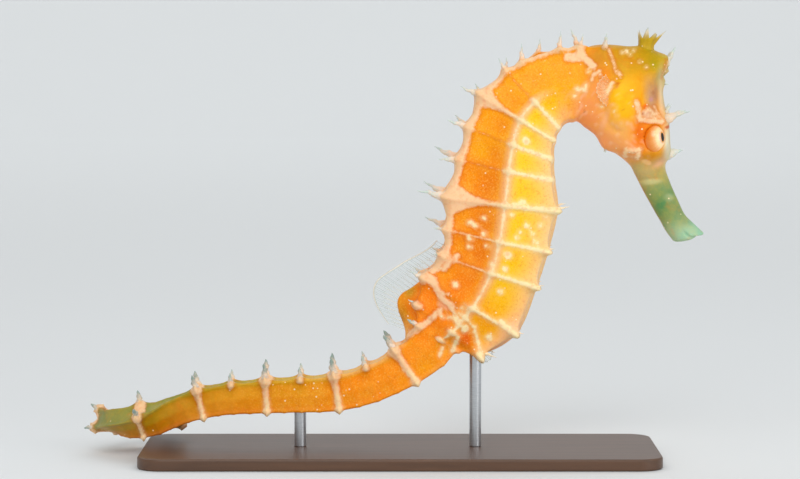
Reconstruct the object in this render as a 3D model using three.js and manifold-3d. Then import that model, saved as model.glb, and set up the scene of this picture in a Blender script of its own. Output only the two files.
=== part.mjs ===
// A thorny seahorse swimming with its tail trailing, as a life-size still model on a display stand.
// Millimetres, +Z up. The snout points to +X, and the animal's right side faces -Y.
// The origin is the middle of the underside of the stand's base.
import * as THREE from "three";
import { mergeVertices } from "three/addons/utils/BufferGeometryUtils.js";
import Module from "manifold-3d";

const wasm = await Module();
wasm.setup();

// ---- driving dimensions ----

const GAP = 0.3; // clear space between neighbouring pieces
const FIN_THICK = 0.55;

// The side outline of snout, head, neck and trunk. A ring is one bony ring of the body: ring 1 is the
// first of the trunk's eleven, the nape is 0, the mouth -8, and the tail's rings start at 12.
// Each row: [ring, belly x, belly z, back x, back z, half width].
const OUTLINE = [
  [-8, 45.9, 36.0, 51.1, 37.4, 1.8],
  [-7.4, 44.3, 38.1, 48.8, 39.5, 1.7],
  [-6.6, 43.3, 39.9, 47.3, 41.1, 1.6],
  [-6, 42.4, 41.4, 46.2, 43.4, 1.6],
  [-5, 40.6, 44.6, 44.8, 46.6, 1.7],
  [-4, 39.0, 47.7, 44.0, 49.4, 2.1],
  [-3.4, 38.2, 49.1, 44.7, 51.4, 3.0],
  [-2.6, 36.2, 50.8, 44.8, 54.8, 4.0],
  [-2, 33.8, 52.3, 43.9, 59.4, 4.6],
  [-1.3, 32.3, 54.2, 43.5, 64.0, 5.1],
  [-1.05, 31.4, 54.9, 44.4, 67.0, 5.0],
  [-0.85, 30.8, 55.3, 42.4, 67.9, 4.9],
  [-0.3, 30.0, 56.0, 37.0, 68.9, 4.5],
  [0.4, 29.5, 56.3, 32.3, 69.2, 4.3],
  [1, 29.0, 56.3, 29.7, 68.6, 4.4],
  [2, 27.7, 56.2, 23.0, 67.2, 4.5],
  [3, 26.5, 55.0, 17.7, 64.4, 4.9],
  [4, 25.7, 53.0, 13.8, 60.4, 5.4],
  [5, 25.5, 50.0, 11.5, 55.3, 5.8],
  [6, 25.7, 46.6, 10.0, 50.0, 6.1],
  [7, 26.2, 41.6, 8.3, 43.8, 6.4],
  [8, 24.7, 34.9, 8.0, 38.5, 6.4],
  [9, 22.8, 28.9, 7.2, 34.1, 6.1],
  [10, 19.5, 21.1, 4.3, 30.3, 5.5],
  [11, 13.8, 17.7, 3.5, 25.7, 4.5],
  [12, 9.8, 18.2, 3.5, 22.2, 3.7],
  [13, 7.2, 16.0, 1.7, 20.2, 3.4],
  [14, 2.8, 13.0, -0.8, 18.2, 3.1],
];

// The tail's middle line after ring 14: its trailing stretch, then a coil lying nearly level.
const TAIL_LINE = [
  [1.0, 15.6],
  [-3.2, 13.3],
  [-7.5, 11.8],
  [-11.5, 11.0],
  [-17.3, 10.7],
  [-23.2, 10.4],
  [-29.0, 10.0],
  [-33.2, 9.2],
  [-37.3, 8.0],
  [-41.3, 6.5],
];
const COIL = { x: -43.0, y: 7.7, z: 5.9, radius: 7.7, turn: 7.2, shrink: 0.68, rise: 1.4 };
const LAST_RING = 48;
const RING_STEP = 3.2; // length of a tail ring at ring 14
const RING_STEP_LOSS = 0.0424; // and how much shorter each following ring is
const TAIL_HALF = [3.05, 2.08, 0.5]; // half thickness at ring 14, at the coil's start and at the tip
const TAIL_TRAIL = 44; // length of the trailing stretch
const TAIL_ROLL = 1.3; // turn that brings the belly side to the inside of the coil, in radians

// Half of a cross-section, from the middle of the back (0) to the middle of the belly (8), as
// [height, width] shares. Places 2, 4, 6 and 8 carry the ridges.
const HEAD_FORM = [
  [1, 0], [0.95, 0.32], [0.8, 0.58], [0.5, 0.83], [0.1, 1], [-0.34, 0.96], [-0.7, 0.73], [-0.92, 0.4],
  [-1, 0],
];
const TRUNK_FORM = [
  [0.93, 0], [0.95, 0.26], [1, 0.52], [0.5, 0.75], [0, 1], [-0.43, 0.8], [-0.88, 0.55], [-0.95, 0.27],
  [-1, 0],
];
const TAIL_FORM = [
  [0.9, 0], [0.93, 0.42], [1, 0.84], [0.5, 0.86], [0, 0.88], [-0.5, 0.86], [-1, 0.84], [-0.93, 0.42],
  [-0.9, 0],
];

const RING_RISE = 0.25; // how far a ring's edge stands over the plates
const TAIL_RING_RISE = 0.12;
const STRONG_RISE = 0.3; // and what a strong ring adds
const STRONG_RINGS = [1, 4, 7, 11, 14, 18, 22, 26, 30, 34, 38, 42, 46];
const LOBE = { ring: 11.6, spread: 1.2, rise: 5.2 }; // the raised root of the dorsal fin

// The eyeball: its middle, and its half sizes along, across and up the head.
const EYE = { x: 41.9, y: 2.8, z: 53.4, half: [1.95, 1.85, 2.55] };

// Spines of the back's two ridges: [ring, length, lean to the tail in degrees].
const BACK_SPINES_RIGHT = [
  [0.1, 3.0, 12], [1, 2.4, -8], [1.5, 3.3, -12], [2.5, 3.4, -30], [3, 2.9, -12], [4, 4.4, 6],
  [5, 4.1, 0], [6, 3.8, 8], [7, 5.8, -6], [8, 2.6, 4], [9, 1.8, 2], [10, 3.0, 4], [11, 2.2, 10],
];
const BACK_SPINES_LEFT = [
  [0.1, 2.8, 4], [1, 3.4, 24], [2, 3.0, -30], [3, 2.6, -44], [4, 2.6, -28],
  [5, 3.2, -20], [6, 4.9, -14], [7, 5.1, -22], [8, 4.3, -12], [9, 2.4, -10], [10, 2.6, -6], [11, 2.0, 0],
];
// Low knobs where a ring crosses a ridge: how far they stand out on the trunk and on the tail.
const KNOB = { side: 0.45, belly: 0.7, tail: 0.3 };
const BELLY_SPINE = 1.6;
const TAIL_SPINE = 2.5; // length of an upper tail spine near the trunk
const STRONG_SHARE = 1.5; // length of a strong ring's spine over a plain one's
const LAST_PLAIN_SPINE = 24; // every other plain ring of the tail has a spine up to this one

// Single spines of the head: [root x, z, root half spread, tip x, z, tip half spread, root radius].
const HEAD_SPINES = [
  [44.1, 66.2, 0.4, 45.7, 68.7, 0.7, 1.0], // crest ahead of the coronet
  [43.2, 62.9, 0.4, 44.5, 62.5, 0.9, 0.7],
  [43.9, 56.8, 1.9, 47.9, 58.2, 3.4, 1.0], // over the eye
  [43.9, 50.9, 0.4, 47.1, 51.6, 0.0, 1.5], // on the nose
  [34.6, 52.6, 0.9, 34.0, 51.2, 1.2, 0.7], // under the chin
  [38.2, 51.9, 3.2, 37.6, 51.0, 4.6, 0.8], // on the cheek
  [40.4, 58.6, 4.0, 39.7, 59.7, 5.1, 1.0],
];
const CORONET = { x: 40.5, z: 67.7, height: 2.5, waist: 1.25, rim: 1.8, tines: 5, tine: 2.2, lean: 0.2 };

const PECTORAL = { x: 35.5, z: 61.6, y: 4.1, length: 3.6, spread: 0.95, splay: 0.4 };
const ANAL = { ring: 11.0, length: 2.6, spread: 0.7 };
const DORSAL_FIN = { first: 8.7, last: 12.7, height: 5.2, sink: 1.0 };

const BASE = { length: 86, width: 30, thick: 2, corner: 4 };
const ROD_RADIUS = 1.0;
const ROD_X = { trunk: 12.6, tail: -16.7 };

const COLOURS = {
  body: 0xf08c18,
  neck: 0xf6a030,
  head: 0xf0a040,
  snout: 0xb4ac78,
  coronet: 0xb09018,
  tail: 0xe08818,
  eye: 0xe8cfa0,
  fin: 0xe6dcc4,
  base: 0x3a2a20,
  rod: 0xb8bcc0,
};

// ---- the body's own coordinates ----

const up = new THREE.Vector3(0, 0, 1);
const right = new THREE.Vector3(0, -1, 0);

function mix(a, b, share) {
  return a + (b - a) * share;
}

function fade(from, to, value) {
  return THREE.MathUtils.smoothstep(value, Math.min(from, to), Math.max(from, to));
}

function tailCurve() {
  const points = TAIL_LINE.map(([x, z]) => new THREE.Vector3(x, 0, z));
  for (let angle = 0.35; angle <= COIL.turn + 0.01; angle += COIL.turn / 24) {
    const share = angle / COIL.turn;
    const radius = COIL.radius * (1 - COIL.shrink * share);
    points.push(
      new THREE.Vector3(
        COIL.x - radius * Math.sin(angle),
        COIL.y - radius * Math.cos(angle),
        COIL.z - 0.9 * fade(0, 0.3, share) + COIL.rise * fade(0.5, 1, share),
      ),
    );
  }
  const curve = new THREE.CatmullRomCurve3(points);
  curve.arcLengthDivisions = 600;
  return curve;
}

// The tail's stations, one at each ring after ring 14.
function tailStations() {
  const curve = tailCurve();
  const whole = curve.getLength();
  const stations = [];
  for (let ring = 15; ring <= LAST_RING; ring += 1) {
    const k = ring - 14;
    const reach = Math.min(RING_STEP * k - (RING_STEP_LOSS / 2) * k * k, whole);
    const centre = curve.getPointAt(reach / whole);
    const along = curve.getTangentAt(reach / whole);
    const back = up.clone().addScaledVector(along, -up.dot(along)).normalize();
    const out = back.clone().cross(along);
    const roll = TAIL_ROLL * fade(TAIL_TRAIL - 6, TAIL_TRAIL + 12, reach);
    const thin = reach < TAIL_TRAIL
      ? mix(TAIL_HALF[0], TAIL_HALF[1], reach / TAIL_TRAIL)
      : mix(TAIL_HALF[1], TAIL_HALF[2], (reach - TAIL_TRAIL) / (whole - TAIL_TRAIL));
    back.multiplyScalar(Math.cos(roll)).addScaledVector(out, Math.sin(roll));
    stations.push({ ring, centre, back, side: back.clone().cross(along), deep: thin, wide: thin });
  }
  return stations;
}

const STATIONS = OUTLINE.map(([ring, bellyX, bellyZ, backX, backZ, wide]) => {
  const belly = new THREE.Vector3(bellyX, 0, bellyZ);
  const back = new THREE.Vector3(backX, 0, backZ);
  const deep = back.distanceTo(belly) / 2;
  const centre = back.clone().add(belly).multiplyScalar(0.5);
  return { ring, centre, back: back.sub(belly).normalize(), side: right.clone(), deep, wide };
}).concat(tailStations());

// A smooth curve through the stations' values, with slopes from the neighbours on each side.
function along(ring, read) {
  const last = STATIONS.length - 2;
  let i = STATIONS.findIndex((s, k) => k === last || STATIONS[k + 1].ring > ring);
  i = Math.max(i, 0);
  const slope = (k) => {
    const a = STATIONS[Math.max(k - 1, 0)];
    const b = STATIONS[Math.min(k + 1, last + 1)];
    return (read(b) - read(a)) / (b.ring - a.ring);
  };
  const a = STATIONS[i];
  const b = STATIONS[i + 1];
  const step = b.ring - a.ring;
  const s = THREE.MathUtils.clamp((ring - a.ring) / step, 0, 1);
  const start = 2 * s ** 3 - 3 * s ** 2 + 1;
  const startSlope = s ** 3 - 2 * s ** 2 + s;
  const endSlope = s ** 3 - s ** 2;
  return start * read(a) + (1 - start) * read(b) + step * (startSlope * slope(i) + endSlope * slope(i + 1));
}

function alongVector(ring, key) {
  return new THREE.Vector3(...["x", "y", "z"].map((axis) => along(ring, (s) => s[key][axis])));
}

function frameAt(ring) {
  const back = alongVector(ring, "back").normalize();
  const side = alongVector(ring, "side").normalize();
  return {
    centre: alongVector(ring, "centre"),
    back,
    side,
    tailward: side.clone().cross(back).normalize(),
    deep: along(ring, (s) => s.deep),
    wide: along(ring, (s) => s.wide),
  };
}

// How far a ring's edge stands out at this place along the body.
function ringRise(ring) {
  const nearest = Math.round(ring);
  if (ring < 0.7 || nearest > LAST_RING - 1) return 0;
  const edge = 1 - fade(0.05, 0.45, Math.abs(ring - nearest));
  const plain = mix(RING_RISE, TAIL_RING_RISE, fade(11, 13, ring));
  const strong = STRONG_RINGS.includes(nearest) ? STRONG_RISE : 0;
  const small = along(ring, (s) => s.deep) / 8;
  return edge * (plain + strong) * Math.min(1, 0.35 + small);
}

// How far a knob stands out where a ring crosses the ridge at this place.
function knobRise(ring, place) {
  if (ring < 0.7 || ring > LAST_RING - 0.7 || place < 1.5) return 0;
  const onRing = 1 - fade(0.05, 0.3, Math.abs(ring - Math.round(ring)));
  const onRidge = 1 - fade(0.1, 0.6, Math.abs(place - 2 * Math.round(place / 2)));
  const trunk = place > 5 ? KNOB.belly : KNOB.side;
  const tailKnob = KNOB.tail * Math.min(1, along(ring, (s) => s.deep) / 2);
  const tail = Math.abs(place - 4) < 1 || place > 7 ? 0 : tailKnob;
  return onRing * onRidge * mix(trunk * fade(1, 4, ring), tail, fade(11, 13, ring));
}

// How far the dorsal fin's root stands out along the middle of the back.
function lobeRise(ring) {
  return LOBE.rise * Math.exp(-(((ring - LOBE.ring) / LOBE.spread) ** 2));
}

// A point of the body's surface. place runs from 0 at the middle of the back, over the right side, to
// 8 at the belly, and over the left side to 16. swell moves the surface outwards.
function surface(ring, place, swell = 0) {
  const left = place > 8;
  const p = left ? 16 - place : place;
  const i = Math.min(Math.floor(p), 7);
  const pick = (form, k) => mix(form[i][k], form[i + 1][k], p - i);
  const trunk = fade(-0.3, 1.2, ring);
  const tail = fade(10.5, 13.5, ring);
  const share = (k) => mix(mix(pick(HEAD_FORM, k), pick(TRUNK_FORM, k), trunk), pick(TAIL_FORM, k), tail);
  const f = frameAt(ring);
  const rise = ringRise(ring) + knobRise(ring, p) + swell;
  const lobe = lobeRise(ring) * Math.exp(-((p / 1.25) ** 2));
  const height = share(0) * (f.deep + rise) + lobe;
  const width = share(1) * (f.wide + rise);
  return f.centre.addScaledVector(f.back, height).addScaledVector(f.side, left ? -width : width);
}

// ---- solids ----

function solid(geometry) {
  const bare = geometry.clone();
  bare.deleteAttribute("normal");
  bare.deleteAttribute("uv");
  const merged = mergeVertices(bare, 1e-4);
  const made = new wasm.Manifold(
    new wasm.Mesh({
      numProp: 3,
      vertProperties: new Float32Array(merged.attributes.position.array),
      triVerts: new Uint32Array(merged.index.array),
    }),
  );
  if (made.volume() <= 0) throw new Error("a solid is inside out");
  return made;
}

function geometryOf(body) {
  const mesh = body.getMesh();
  const flat = new THREE.BufferGeometry();
  flat.setAttribute("position", new THREE.BufferAttribute(new Float32Array(mesh.vertProperties), 3));
  flat.setIndex(new THREE.BufferAttribute(new Uint32Array(mesh.triVerts), 1));
  const split = flat.toNonIndexed();
  split.computeVertexNormals();
  return split;
}

// The body between two places, as a turned form bent onto the surface.
function loft(rings, swell = 0) {
  const around = 16;
  const profile = [new THREE.Vector2(0, 0)];
  rings.forEach((_, k) => profile.push(new THREE.Vector2(1, k)));
  profile.push(new THREE.Vector2(0, rings.length - 1));
  const form = new THREE.LatheGeometry(profile, around);
  const position = form.attributes.position;
  for (let v = 0; v < position.count; v += 1) {
    const turn = (around - (Math.floor(v / profile.length) % around)) % around;
    const row = v % profile.length;
    const ring = rings[THREE.MathUtils.clamp(row - 1, 0, rings.length - 1)];
    const onAxis = row === 0 || row === profile.length - 1;
    const point = onAxis ? alongVector(ring, "centre") : surface(ring, turn, swell);
    position.setXYZ(v, point.x, point.y, point.z);
  }
  return solid(form);
}

// A spine with a flared root, drawn from root to tip.
function spine(root, tip, radius, sides = 4) {
  const length = root.distanceTo(tip);
  const sunk = Math.min(0.5, radius * 0.7);
  const profile = [
    new THREE.Vector2(0, -sunk),
    new THREE.Vector2(radius * 1.15, -sunk),
    new THREE.Vector2(radius * 0.5, length * 0.3),
    new THREE.Vector2(0, length),
  ];
  const form = new THREE.LatheGeometry(profile, sides);
  const turn = new THREE.Quaternion().setFromUnitVectors(
    new THREE.Vector3(0, 1, 0),
    tip.clone().sub(root).normalize(),
  );
  form.applyQuaternion(turn);
  form.translate(root.x, root.y, root.z);
  return solid(form);
}

// A spine that stands on the body at a ring and place, leaning to the tail by some degrees.
function bodySpine(ring, place, length, lean, radius) {
  const f = frameAt(ring);
  const root = surface(ring, place);
  const outward = root.clone().sub(f.centre).normalize();
  outward.addScaledVector(f.back, place < 3 || place > 13 ? 0.9 : 0).normalize();
  const angle = THREE.MathUtils.degToRad(lean);
  const tip = root.clone();
  tip.addScaledVector(outward, length * Math.cos(angle));
  tip.addScaledVector(f.tailward, length * Math.sin(angle));
  return spine(root, tip, radius);
}

function ringSpines() {
  const made = [];
  BACK_SPINES_RIGHT.forEach(([ring, length, lean]) => {
    made.push(bodySpine(ring, 2, length, lean, 0.5 + 0.17 * length));
  });
  BACK_SPINES_LEFT.forEach(([ring, length, lean]) => {
    made.push(bodySpine(ring, 14, length, lean, 0.5 + 0.17 * length));
  });
  for (let ring = 1; ring < LAST_RING - 5; ring += 1) {
    const strong = STRONG_RINGS.includes(ring) ? STRONG_SHARE : 1;
    const wane = 1 - fade(18, LAST_RING, ring) * 0.75;
    if (ring >= 7 && ring <= 11) {
      made.push(bodySpine(ring, 6, BELLY_SPINE * strong, -20, 0.6));
      made.push(bodySpine(ring, 10, BELLY_SPINE * strong, -20, 0.6));
    }
    const even = ring % 2 === 0 && ring <= LAST_PLAIN_SPINE;
    if (ring > 11 && (even || strong > 1)) {
      const length = TAIL_SPINE * strong * wane;
      made.push(bodySpine(ring, 2, length, 0, 0.45 + 0.12 * length));
      made.push(bodySpine(ring, 14, length, 0, 0.45 + 0.12 * length));
    }
  }
  return made;
}

function headSpines() {
  const made = [];
  HEAD_SPINES.forEach(([rootX, rootZ, rootY, tipX, tipZ, tipY, radius]) => {
    const sides = tipY === 0 ? [1] : [-1, 1];
    sides.forEach((side) => {
      const root = new THREE.Vector3(rootX, tipY === 0 ? 0 : side * rootY, rootZ);
      made.push(spine(root, new THREE.Vector3(tipX, side * tipY, tipZ), radius));
    });
  });
  return made;
}

// A thin box across the body at one place, which parts two lengths by the gap.
function partingCut(ring) {
  const f = frameAt(ring);
  const reach = 1.2;
  const deep = f.deep + reach + lobeRise(ring);
  const box = new THREE.BoxGeometry(2 * deep, 2 * (f.wide + reach), GAP);
  const turn = new THREE.Matrix4().makeBasis(f.back, f.side, f.back.clone().cross(f.side));
  box.applyMatrix4(turn);
  box.translate(f.centre.x, f.centre.y, f.centre.z);
  return solid(box);
}

// The eyeball of one side, or with some swell the socket it lies in.
function eyeball(side, swell = 0) {
  const form = new THREE.SphereGeometry(1, 14, 8);
  form.scale(...EYE.half.map((half) => half + swell));
  form.translate(EYE.x, side * EYE.y, EYE.z);
  return solid(form);
}

const HEAD_RINGS = [
  -8, -7.7, -7.1, -6.5, -5.9, -5.3, -4.7, -4.2, -3.8, -3.5, -3.2, -2.9, -2.6, -2.3, -2, -1.65,
  -1.3, -1.1, -0.9, -0.6, -0.3, 0.05, 0.4, 0.7,
];

function bodyRings() {
  const rings = [...HEAD_RINGS];
  for (let ring = 1; ring <= LAST_RING; ring += 0.5) rings.push(ring);
  return rings;
}

// A flat fin: a fan drawn in its own plane with scalloped rays, then thickened.
function fanFin(length, spread, rays, thick) {
  const shape = new THREE.Shape();
  shape.moveTo(0, 0);
  const steps = rays * 2;
  for (let k = 0; k <= steps; k += 1) {
    const angle = mix(-spread, spread, k / steps);
    const reach = length * (k % 2 === 0 ? 0.94 : 1) * (1 - 0.12 * Math.abs(angle / spread));
    shape.lineTo(-reach * Math.cos(angle), reach * Math.sin(angle));
  }
  shape.closePath();
  const form = new THREE.ExtrudeGeometry(shape, { depth: thick, bevelEnabled: false });
  form.translate(0, 0, -thick / 2);
  form.rotateX(Math.PI / 2);
  return form;
}

function dorsalFin(inflated) {
  const { first, last, height, sink } = DORSAL_FIN;
  const rays = 18;
  const root = [];
  const margin = [];
  for (let k = 0; k <= rays; k += 1) {
    const share = k / rays;
    const ring = mix(first, last, share);
    const f = frameAt(ring);
    const onBack = surface(ring, 0);
    const fan = mix(-0.3, 0.35, share);
    const reach = height * Math.sin(Math.PI * mix(0.14, 0.88, share)) ** 0.6 * mix(0.8, 1, share);
    const ray = f.back.clone().multiplyScalar(Math.cos(fan)).addScaledVector(f.tailward, Math.sin(fan));
    root.push(onBack.clone().addScaledVector(f.back, -sink));
    margin.push(onBack.addScaledVector(ray, reach));
  }
  const shape = new THREE.Shape();
  [...root, ...margin.reverse()].forEach((p, k) => {
    if (k === 0) shape.moveTo(p.x, p.z);
    else shape.lineTo(p.x, p.z);
  });
  const form = new THREE.ExtrudeGeometry(shape, { depth: FIN_THICK, bevelEnabled: false });
  form.translate(0, 0, -FIN_THICK / 2);
  form.rotateX(Math.PI / 2);
  return solid(form).subtract(inflated);
}

function pectoralFin(side, inflated) {
  const form = fanFin(PECTORAL.length, PECTORAL.spread, 8, FIN_THICK);
  form.rotateZ(-side * PECTORAL.splay);
  form.translate(PECTORAL.x, side * PECTORAL.y, PECTORAL.z);
  return solid(form).subtract(inflated);
}

function analFin(inflated) {
  const f = frameAt(ANAL.ring);
  const root = surface(ANAL.ring, 8).addScaledVector(f.back, 0.8);
  const form = fanFin(ANAL.length, ANAL.spread, 4, FIN_THICK);
  form.rotateY(-Math.atan2(-f.back.z, -f.back.x) + Math.PI);
  form.translate(root.x, root.y, root.z);
  return solid(form).subtract(inflated);
}

function coronet(inflated) {
  const { x, z, height, waist, rim, tines, tine, lean } = CORONET;
  const profile = [
    new THREE.Vector2(0, -1),
    new THREE.Vector2(rim * 1.1, -1),
    new THREE.Vector2(waist, height * 0.5),
    new THREE.Vector2(rim, height * 0.95),
    new THREE.Vector2(0, height * 0.8),
  ];
  const form = new THREE.LatheGeometry(profile, 8);
  form.rotateX(Math.PI / 2);
  form.rotateY(lean);
  form.translate(x, 0, z);
  let made = solid(form);
  for (let k = 0; k < tines; k += 1) {
    const angle = (2 * Math.PI * k) / tines;
    const out = new THREE.Vector3(Math.cos(angle), Math.sin(angle), 0);
    const root = new THREE.Vector3(x, 0, z + height * 0.9).addScaledVector(out, rim * 0.8);
    const tip = root.clone().addScaledVector(out, tine * 0.6).addScaledVector(up, tine * 0.8);
    made = made.add(spine(root, tip, 0.5));
  }
  return made.subtract(inflated);
}

function roundedPlate({ length, width, thick, corner }) {
  const x = length / 2;
  const y = width / 2;
  const shape = new THREE.Shape();
  shape.moveTo(-x + corner, -y);
  shape.lineTo(x - corner, -y);
  shape.absarc(x - corner, -y + corner, corner, -Math.PI / 2, 0);
  shape.lineTo(x, y - corner);
  shape.absarc(x - corner, y - corner, corner, 0, Math.PI / 2);
  shape.lineTo(-x + corner, y);
  shape.absarc(-x + corner, y - corner, corner, Math.PI / 2, Math.PI);
  shape.lineTo(-x, -y + corner);
  shape.absarc(-x + corner, -y + corner, corner, Math.PI, 1.5 * Math.PI);
  return new THREE.ExtrudeGeometry(shape, { depth: thick, bevelEnabled: false, curveSegments: 3 });
}

// An upright rod from the base to just under the body.
function rod(x, inflated) {
  const bottom = BASE.thick + GAP;
  const top = 25;
  const form = new THREE.CylinderGeometry(ROD_RADIUS, ROD_RADIUS, top - bottom, 20);
  form.rotateX(Math.PI / 2);
  form.translate(x, 0, (top + bottom) / 2);
  const pieces = solid(form).subtract(inflated).decompose();
  pieces.sort((a, b) => a.boundingBox().min[2] - b.boundingBox().min[2]);
  return pieces[0];
}

// ---- the model ----

const model = new THREE.Group();

function place(name, geometry, colour, roughness = 0.55, metalness = 0) {
  const material = new THREE.MeshStandardMaterial({ color: colour, roughness, metalness });
  const mesh = new THREE.Mesh(geometry, material);
  mesh.name = name;
  model.add(mesh);
}

const whole = bodyRings();
const inflated = loft(whole, GAP);

function wholeBody() {
  let body = loft(whole);
  [...ringSpines(), ...headSpines()].forEach((piece) => {
    body = body.add(piece);
  });
  [-1, 1].forEach((side) => {
    body = body.subtract(eyeball(side, GAP));
  });
  return body;
}

// The lengths of the body: [name, ring where it ends, colour].
const LENGTHS = [
  ["snout", -3.75, COLOURS.snout],
  ["head", -0.45, COLOURS.head],
  ["neck", 3.5, COLOURS.neck],
  ["trunk_upper", 7.5, COLOURS.body],
  ["trunk_lower", 11.5, COLOURS.body],
  ["tail_1", 16.5, COLOURS.tail],
  ["tail_2", 22.5, COLOURS.tail],
  ["tail_3", 29.5, COLOURS.tail],
  ["tail_4", 37.5, COLOURS.tail],
  ["tail_5", LAST_RING, COLOURS.tail],
];

function partedBody() {
  let body = wholeBody();
  LENGTHS.slice(0, -1).forEach(([, end]) => {
    body = body.subtract(partingCut(end));
  });
  const pieces = body.decompose();
  let start = -8;
  LENGTHS.forEach(([name, end, colour]) => {
    const probe = surface((start + end) / 2, 2);
    const reach = (piece) => {
      const { vertProperties } = piece.getMesh();
      let least = Infinity;
      for (let v = 0; v < vertProperties.length; v += 3) {
        least = Math.min(least, probe.distanceTo(new THREE.Vector3().fromArray(vertProperties, v)));
      }
      return least;
    };
    pieces.sort((a, b) => reach(a) - reach(b));
    place(name, geometryOf(pieces.shift()), colour);
    start = end;
  });
  if (pieces.length) throw new Error(`${pieces.length} loose pieces of the body`);
}

partedBody();
[["right", -1], ["left", 1]].forEach(([name, side]) => {
  place(`eye_${name}`, geometryOf(eyeball(side)), COLOURS.eye, 0.15);
  place(`pectoral_fin_${name}`, geometryOf(pectoralFin(side, inflated)), COLOURS.fin, 0.4);
});
place("coronet", geometryOf(coronet(inflated)), COLOURS.coronet);
place("dorsal_fin", geometryOf(dorsalFin(inflated)), COLOURS.fin, 0.4);
place("anal_fin", geometryOf(analFin(inflated)), COLOURS.fin, 0.4);
place("stand_base", roundedPlate(BASE), COLOURS.base, 0.5);
place("stand_rod_trunk", geometryOf(rod(ROD_X.trunk, inflated)), COLOURS.rod, 0.3, 1);
place("stand_rod_tail", geometryOf(rod(ROD_X.tail, inflated)), COLOURS.rod, 0.3, 1);

export default model;
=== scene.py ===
"""A thorny seahorse on its display stand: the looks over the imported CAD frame.

Lengths in the tables are millimetres, as a maker would measure them; meshes are metres.
"""

import math
from functools import partial

import bpy
import numpy as np
from bpy.props import FloatProperty, FloatVectorProperty, IntProperty, PointerProperty
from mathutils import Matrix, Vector


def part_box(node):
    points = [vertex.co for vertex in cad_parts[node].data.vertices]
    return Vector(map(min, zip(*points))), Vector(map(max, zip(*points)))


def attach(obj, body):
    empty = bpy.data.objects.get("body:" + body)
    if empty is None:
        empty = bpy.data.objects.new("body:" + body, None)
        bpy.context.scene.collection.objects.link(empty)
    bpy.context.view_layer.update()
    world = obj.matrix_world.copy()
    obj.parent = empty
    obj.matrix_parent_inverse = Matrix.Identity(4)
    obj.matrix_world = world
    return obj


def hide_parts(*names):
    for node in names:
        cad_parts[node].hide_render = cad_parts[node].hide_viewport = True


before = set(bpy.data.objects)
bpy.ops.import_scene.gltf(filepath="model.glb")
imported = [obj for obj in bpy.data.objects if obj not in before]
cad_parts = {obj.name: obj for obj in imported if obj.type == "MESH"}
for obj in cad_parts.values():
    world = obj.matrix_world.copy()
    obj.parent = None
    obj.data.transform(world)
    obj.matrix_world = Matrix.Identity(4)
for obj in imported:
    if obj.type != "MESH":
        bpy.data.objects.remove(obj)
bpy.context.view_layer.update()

bl_info = {
    "name": "Thorny seahorse",
    "version": (1, 0, 0),
    "blender": (4, 5, 0),
    "location": "3D View > Sidebar > Seahorse",
    "description": "Dresses the frame of a thorny seahorse on a display stand",
    "category": "Object",
}

MM = 0.001

# ---------------------------------------------------------------- the body's own coordinates

# The side outline of snout, head, neck and trunk. A ring is one bony ring of the body: ring 1 is
# the first of the trunk's eleven, the nape is 0, the mouth -8, and the tail's rings start at 12.
# Each row: ring, belly x and z, back x and z, half width.
OUTLINE = (
    (-8, 45.9, 36.0, 51.1, 37.4, 1.8),
    (-7.4, 44.3, 38.1, 48.8, 39.5, 1.7),
    (-6.6, 43.3, 39.9, 47.3, 41.1, 1.6),
    (-6, 42.4, 41.4, 46.2, 43.4, 1.6),
    (-5, 40.6, 44.6, 44.8, 46.6, 1.7),
    (-4, 39.0, 47.7, 44.0, 49.4, 2.1),
    (-3.4, 38.2, 49.1, 44.7, 51.4, 3.0),
    (-2.6, 36.2, 50.8, 44.8, 54.8, 4.0),
    (-2, 33.8, 52.3, 43.9, 59.4, 4.6),
    (-1.3, 32.3, 54.2, 43.5, 64.0, 5.1),
    (-1.05, 31.4, 54.9, 44.4, 67.0, 5.0),
    (-0.85, 30.8, 55.3, 42.4, 67.9, 4.9),
    (-0.3, 30.0, 56.0, 37.0, 68.9, 4.5),
    (0.4, 29.5, 56.3, 32.3, 69.2, 4.3),
    (1, 29.0, 56.3, 29.7, 68.6, 4.4),
    (2, 27.7, 56.2, 23.0, 67.2, 4.5),
    (3, 26.5, 55.0, 17.7, 64.4, 4.9),
    (4, 25.7, 53.0, 13.8, 60.4, 5.4),
    (5, 25.5, 50.0, 11.5, 55.3, 5.8),
    (6, 25.7, 46.6, 10.0, 50.0, 6.1),
    (7, 26.2, 41.6, 8.3, 43.8, 6.4),
    (8, 24.7, 34.9, 8.0, 38.5, 6.4),
    (9, 22.8, 28.9, 7.2, 34.1, 6.1),
    (10, 19.5, 21.1, 4.3, 30.3, 5.5),
    (11, 13.8, 17.7, 3.5, 25.7, 4.5),
    (12, 9.8, 18.2, 3.5, 22.2, 3.7),
    (13, 7.2, 16.0, 1.7, 20.2, 3.4),
    (14, 2.8, 13.0, -0.8, 18.2, 3.1),
)
# The tail's middle line after ring 14: its trailing stretch, then a coil lying nearly level.
TAIL_LINE = (
    (1.0, 15.6), (-3.2, 13.3), (-7.5, 11.8), (-11.5, 11.0), (-17.3, 10.7),
    (-23.2, 10.4), (-29.0, 10.0), (-33.2, 9.2), (-37.3, 8.0), (-41.3, 6.5),
)
COIL_CENTRE = (-43.0, 7.7, 5.9)
COIL_RADIUS, COIL_TURN, COIL_SHRINK, COIL_RISE, COIL_SAG = 7.7, 7.2, 0.68, 1.4, 0.9
COIL_START, COIL_STEPS = 0.35, 24  # first angle in radians, and points round the coil
LINE_STEPS = 24  # points between two of the tail line's
LAST_RING = 48
RING_STEP, RING_STEP_LOSS = 3.2, 0.0424  # millimetres between rings, and how much less each time
TAIL_HALF = (3.05, 2.08, 0.5)  # half thickness after the trunk, where the coil starts, at the tip
TAIL_TRAIL = 44.0  # length run where the coil starts
TAIL_ROLL, ROLL_START, ROLL_END = 1.3, 38.0, 56.0  # how far the coil leans, and where it does so

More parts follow.
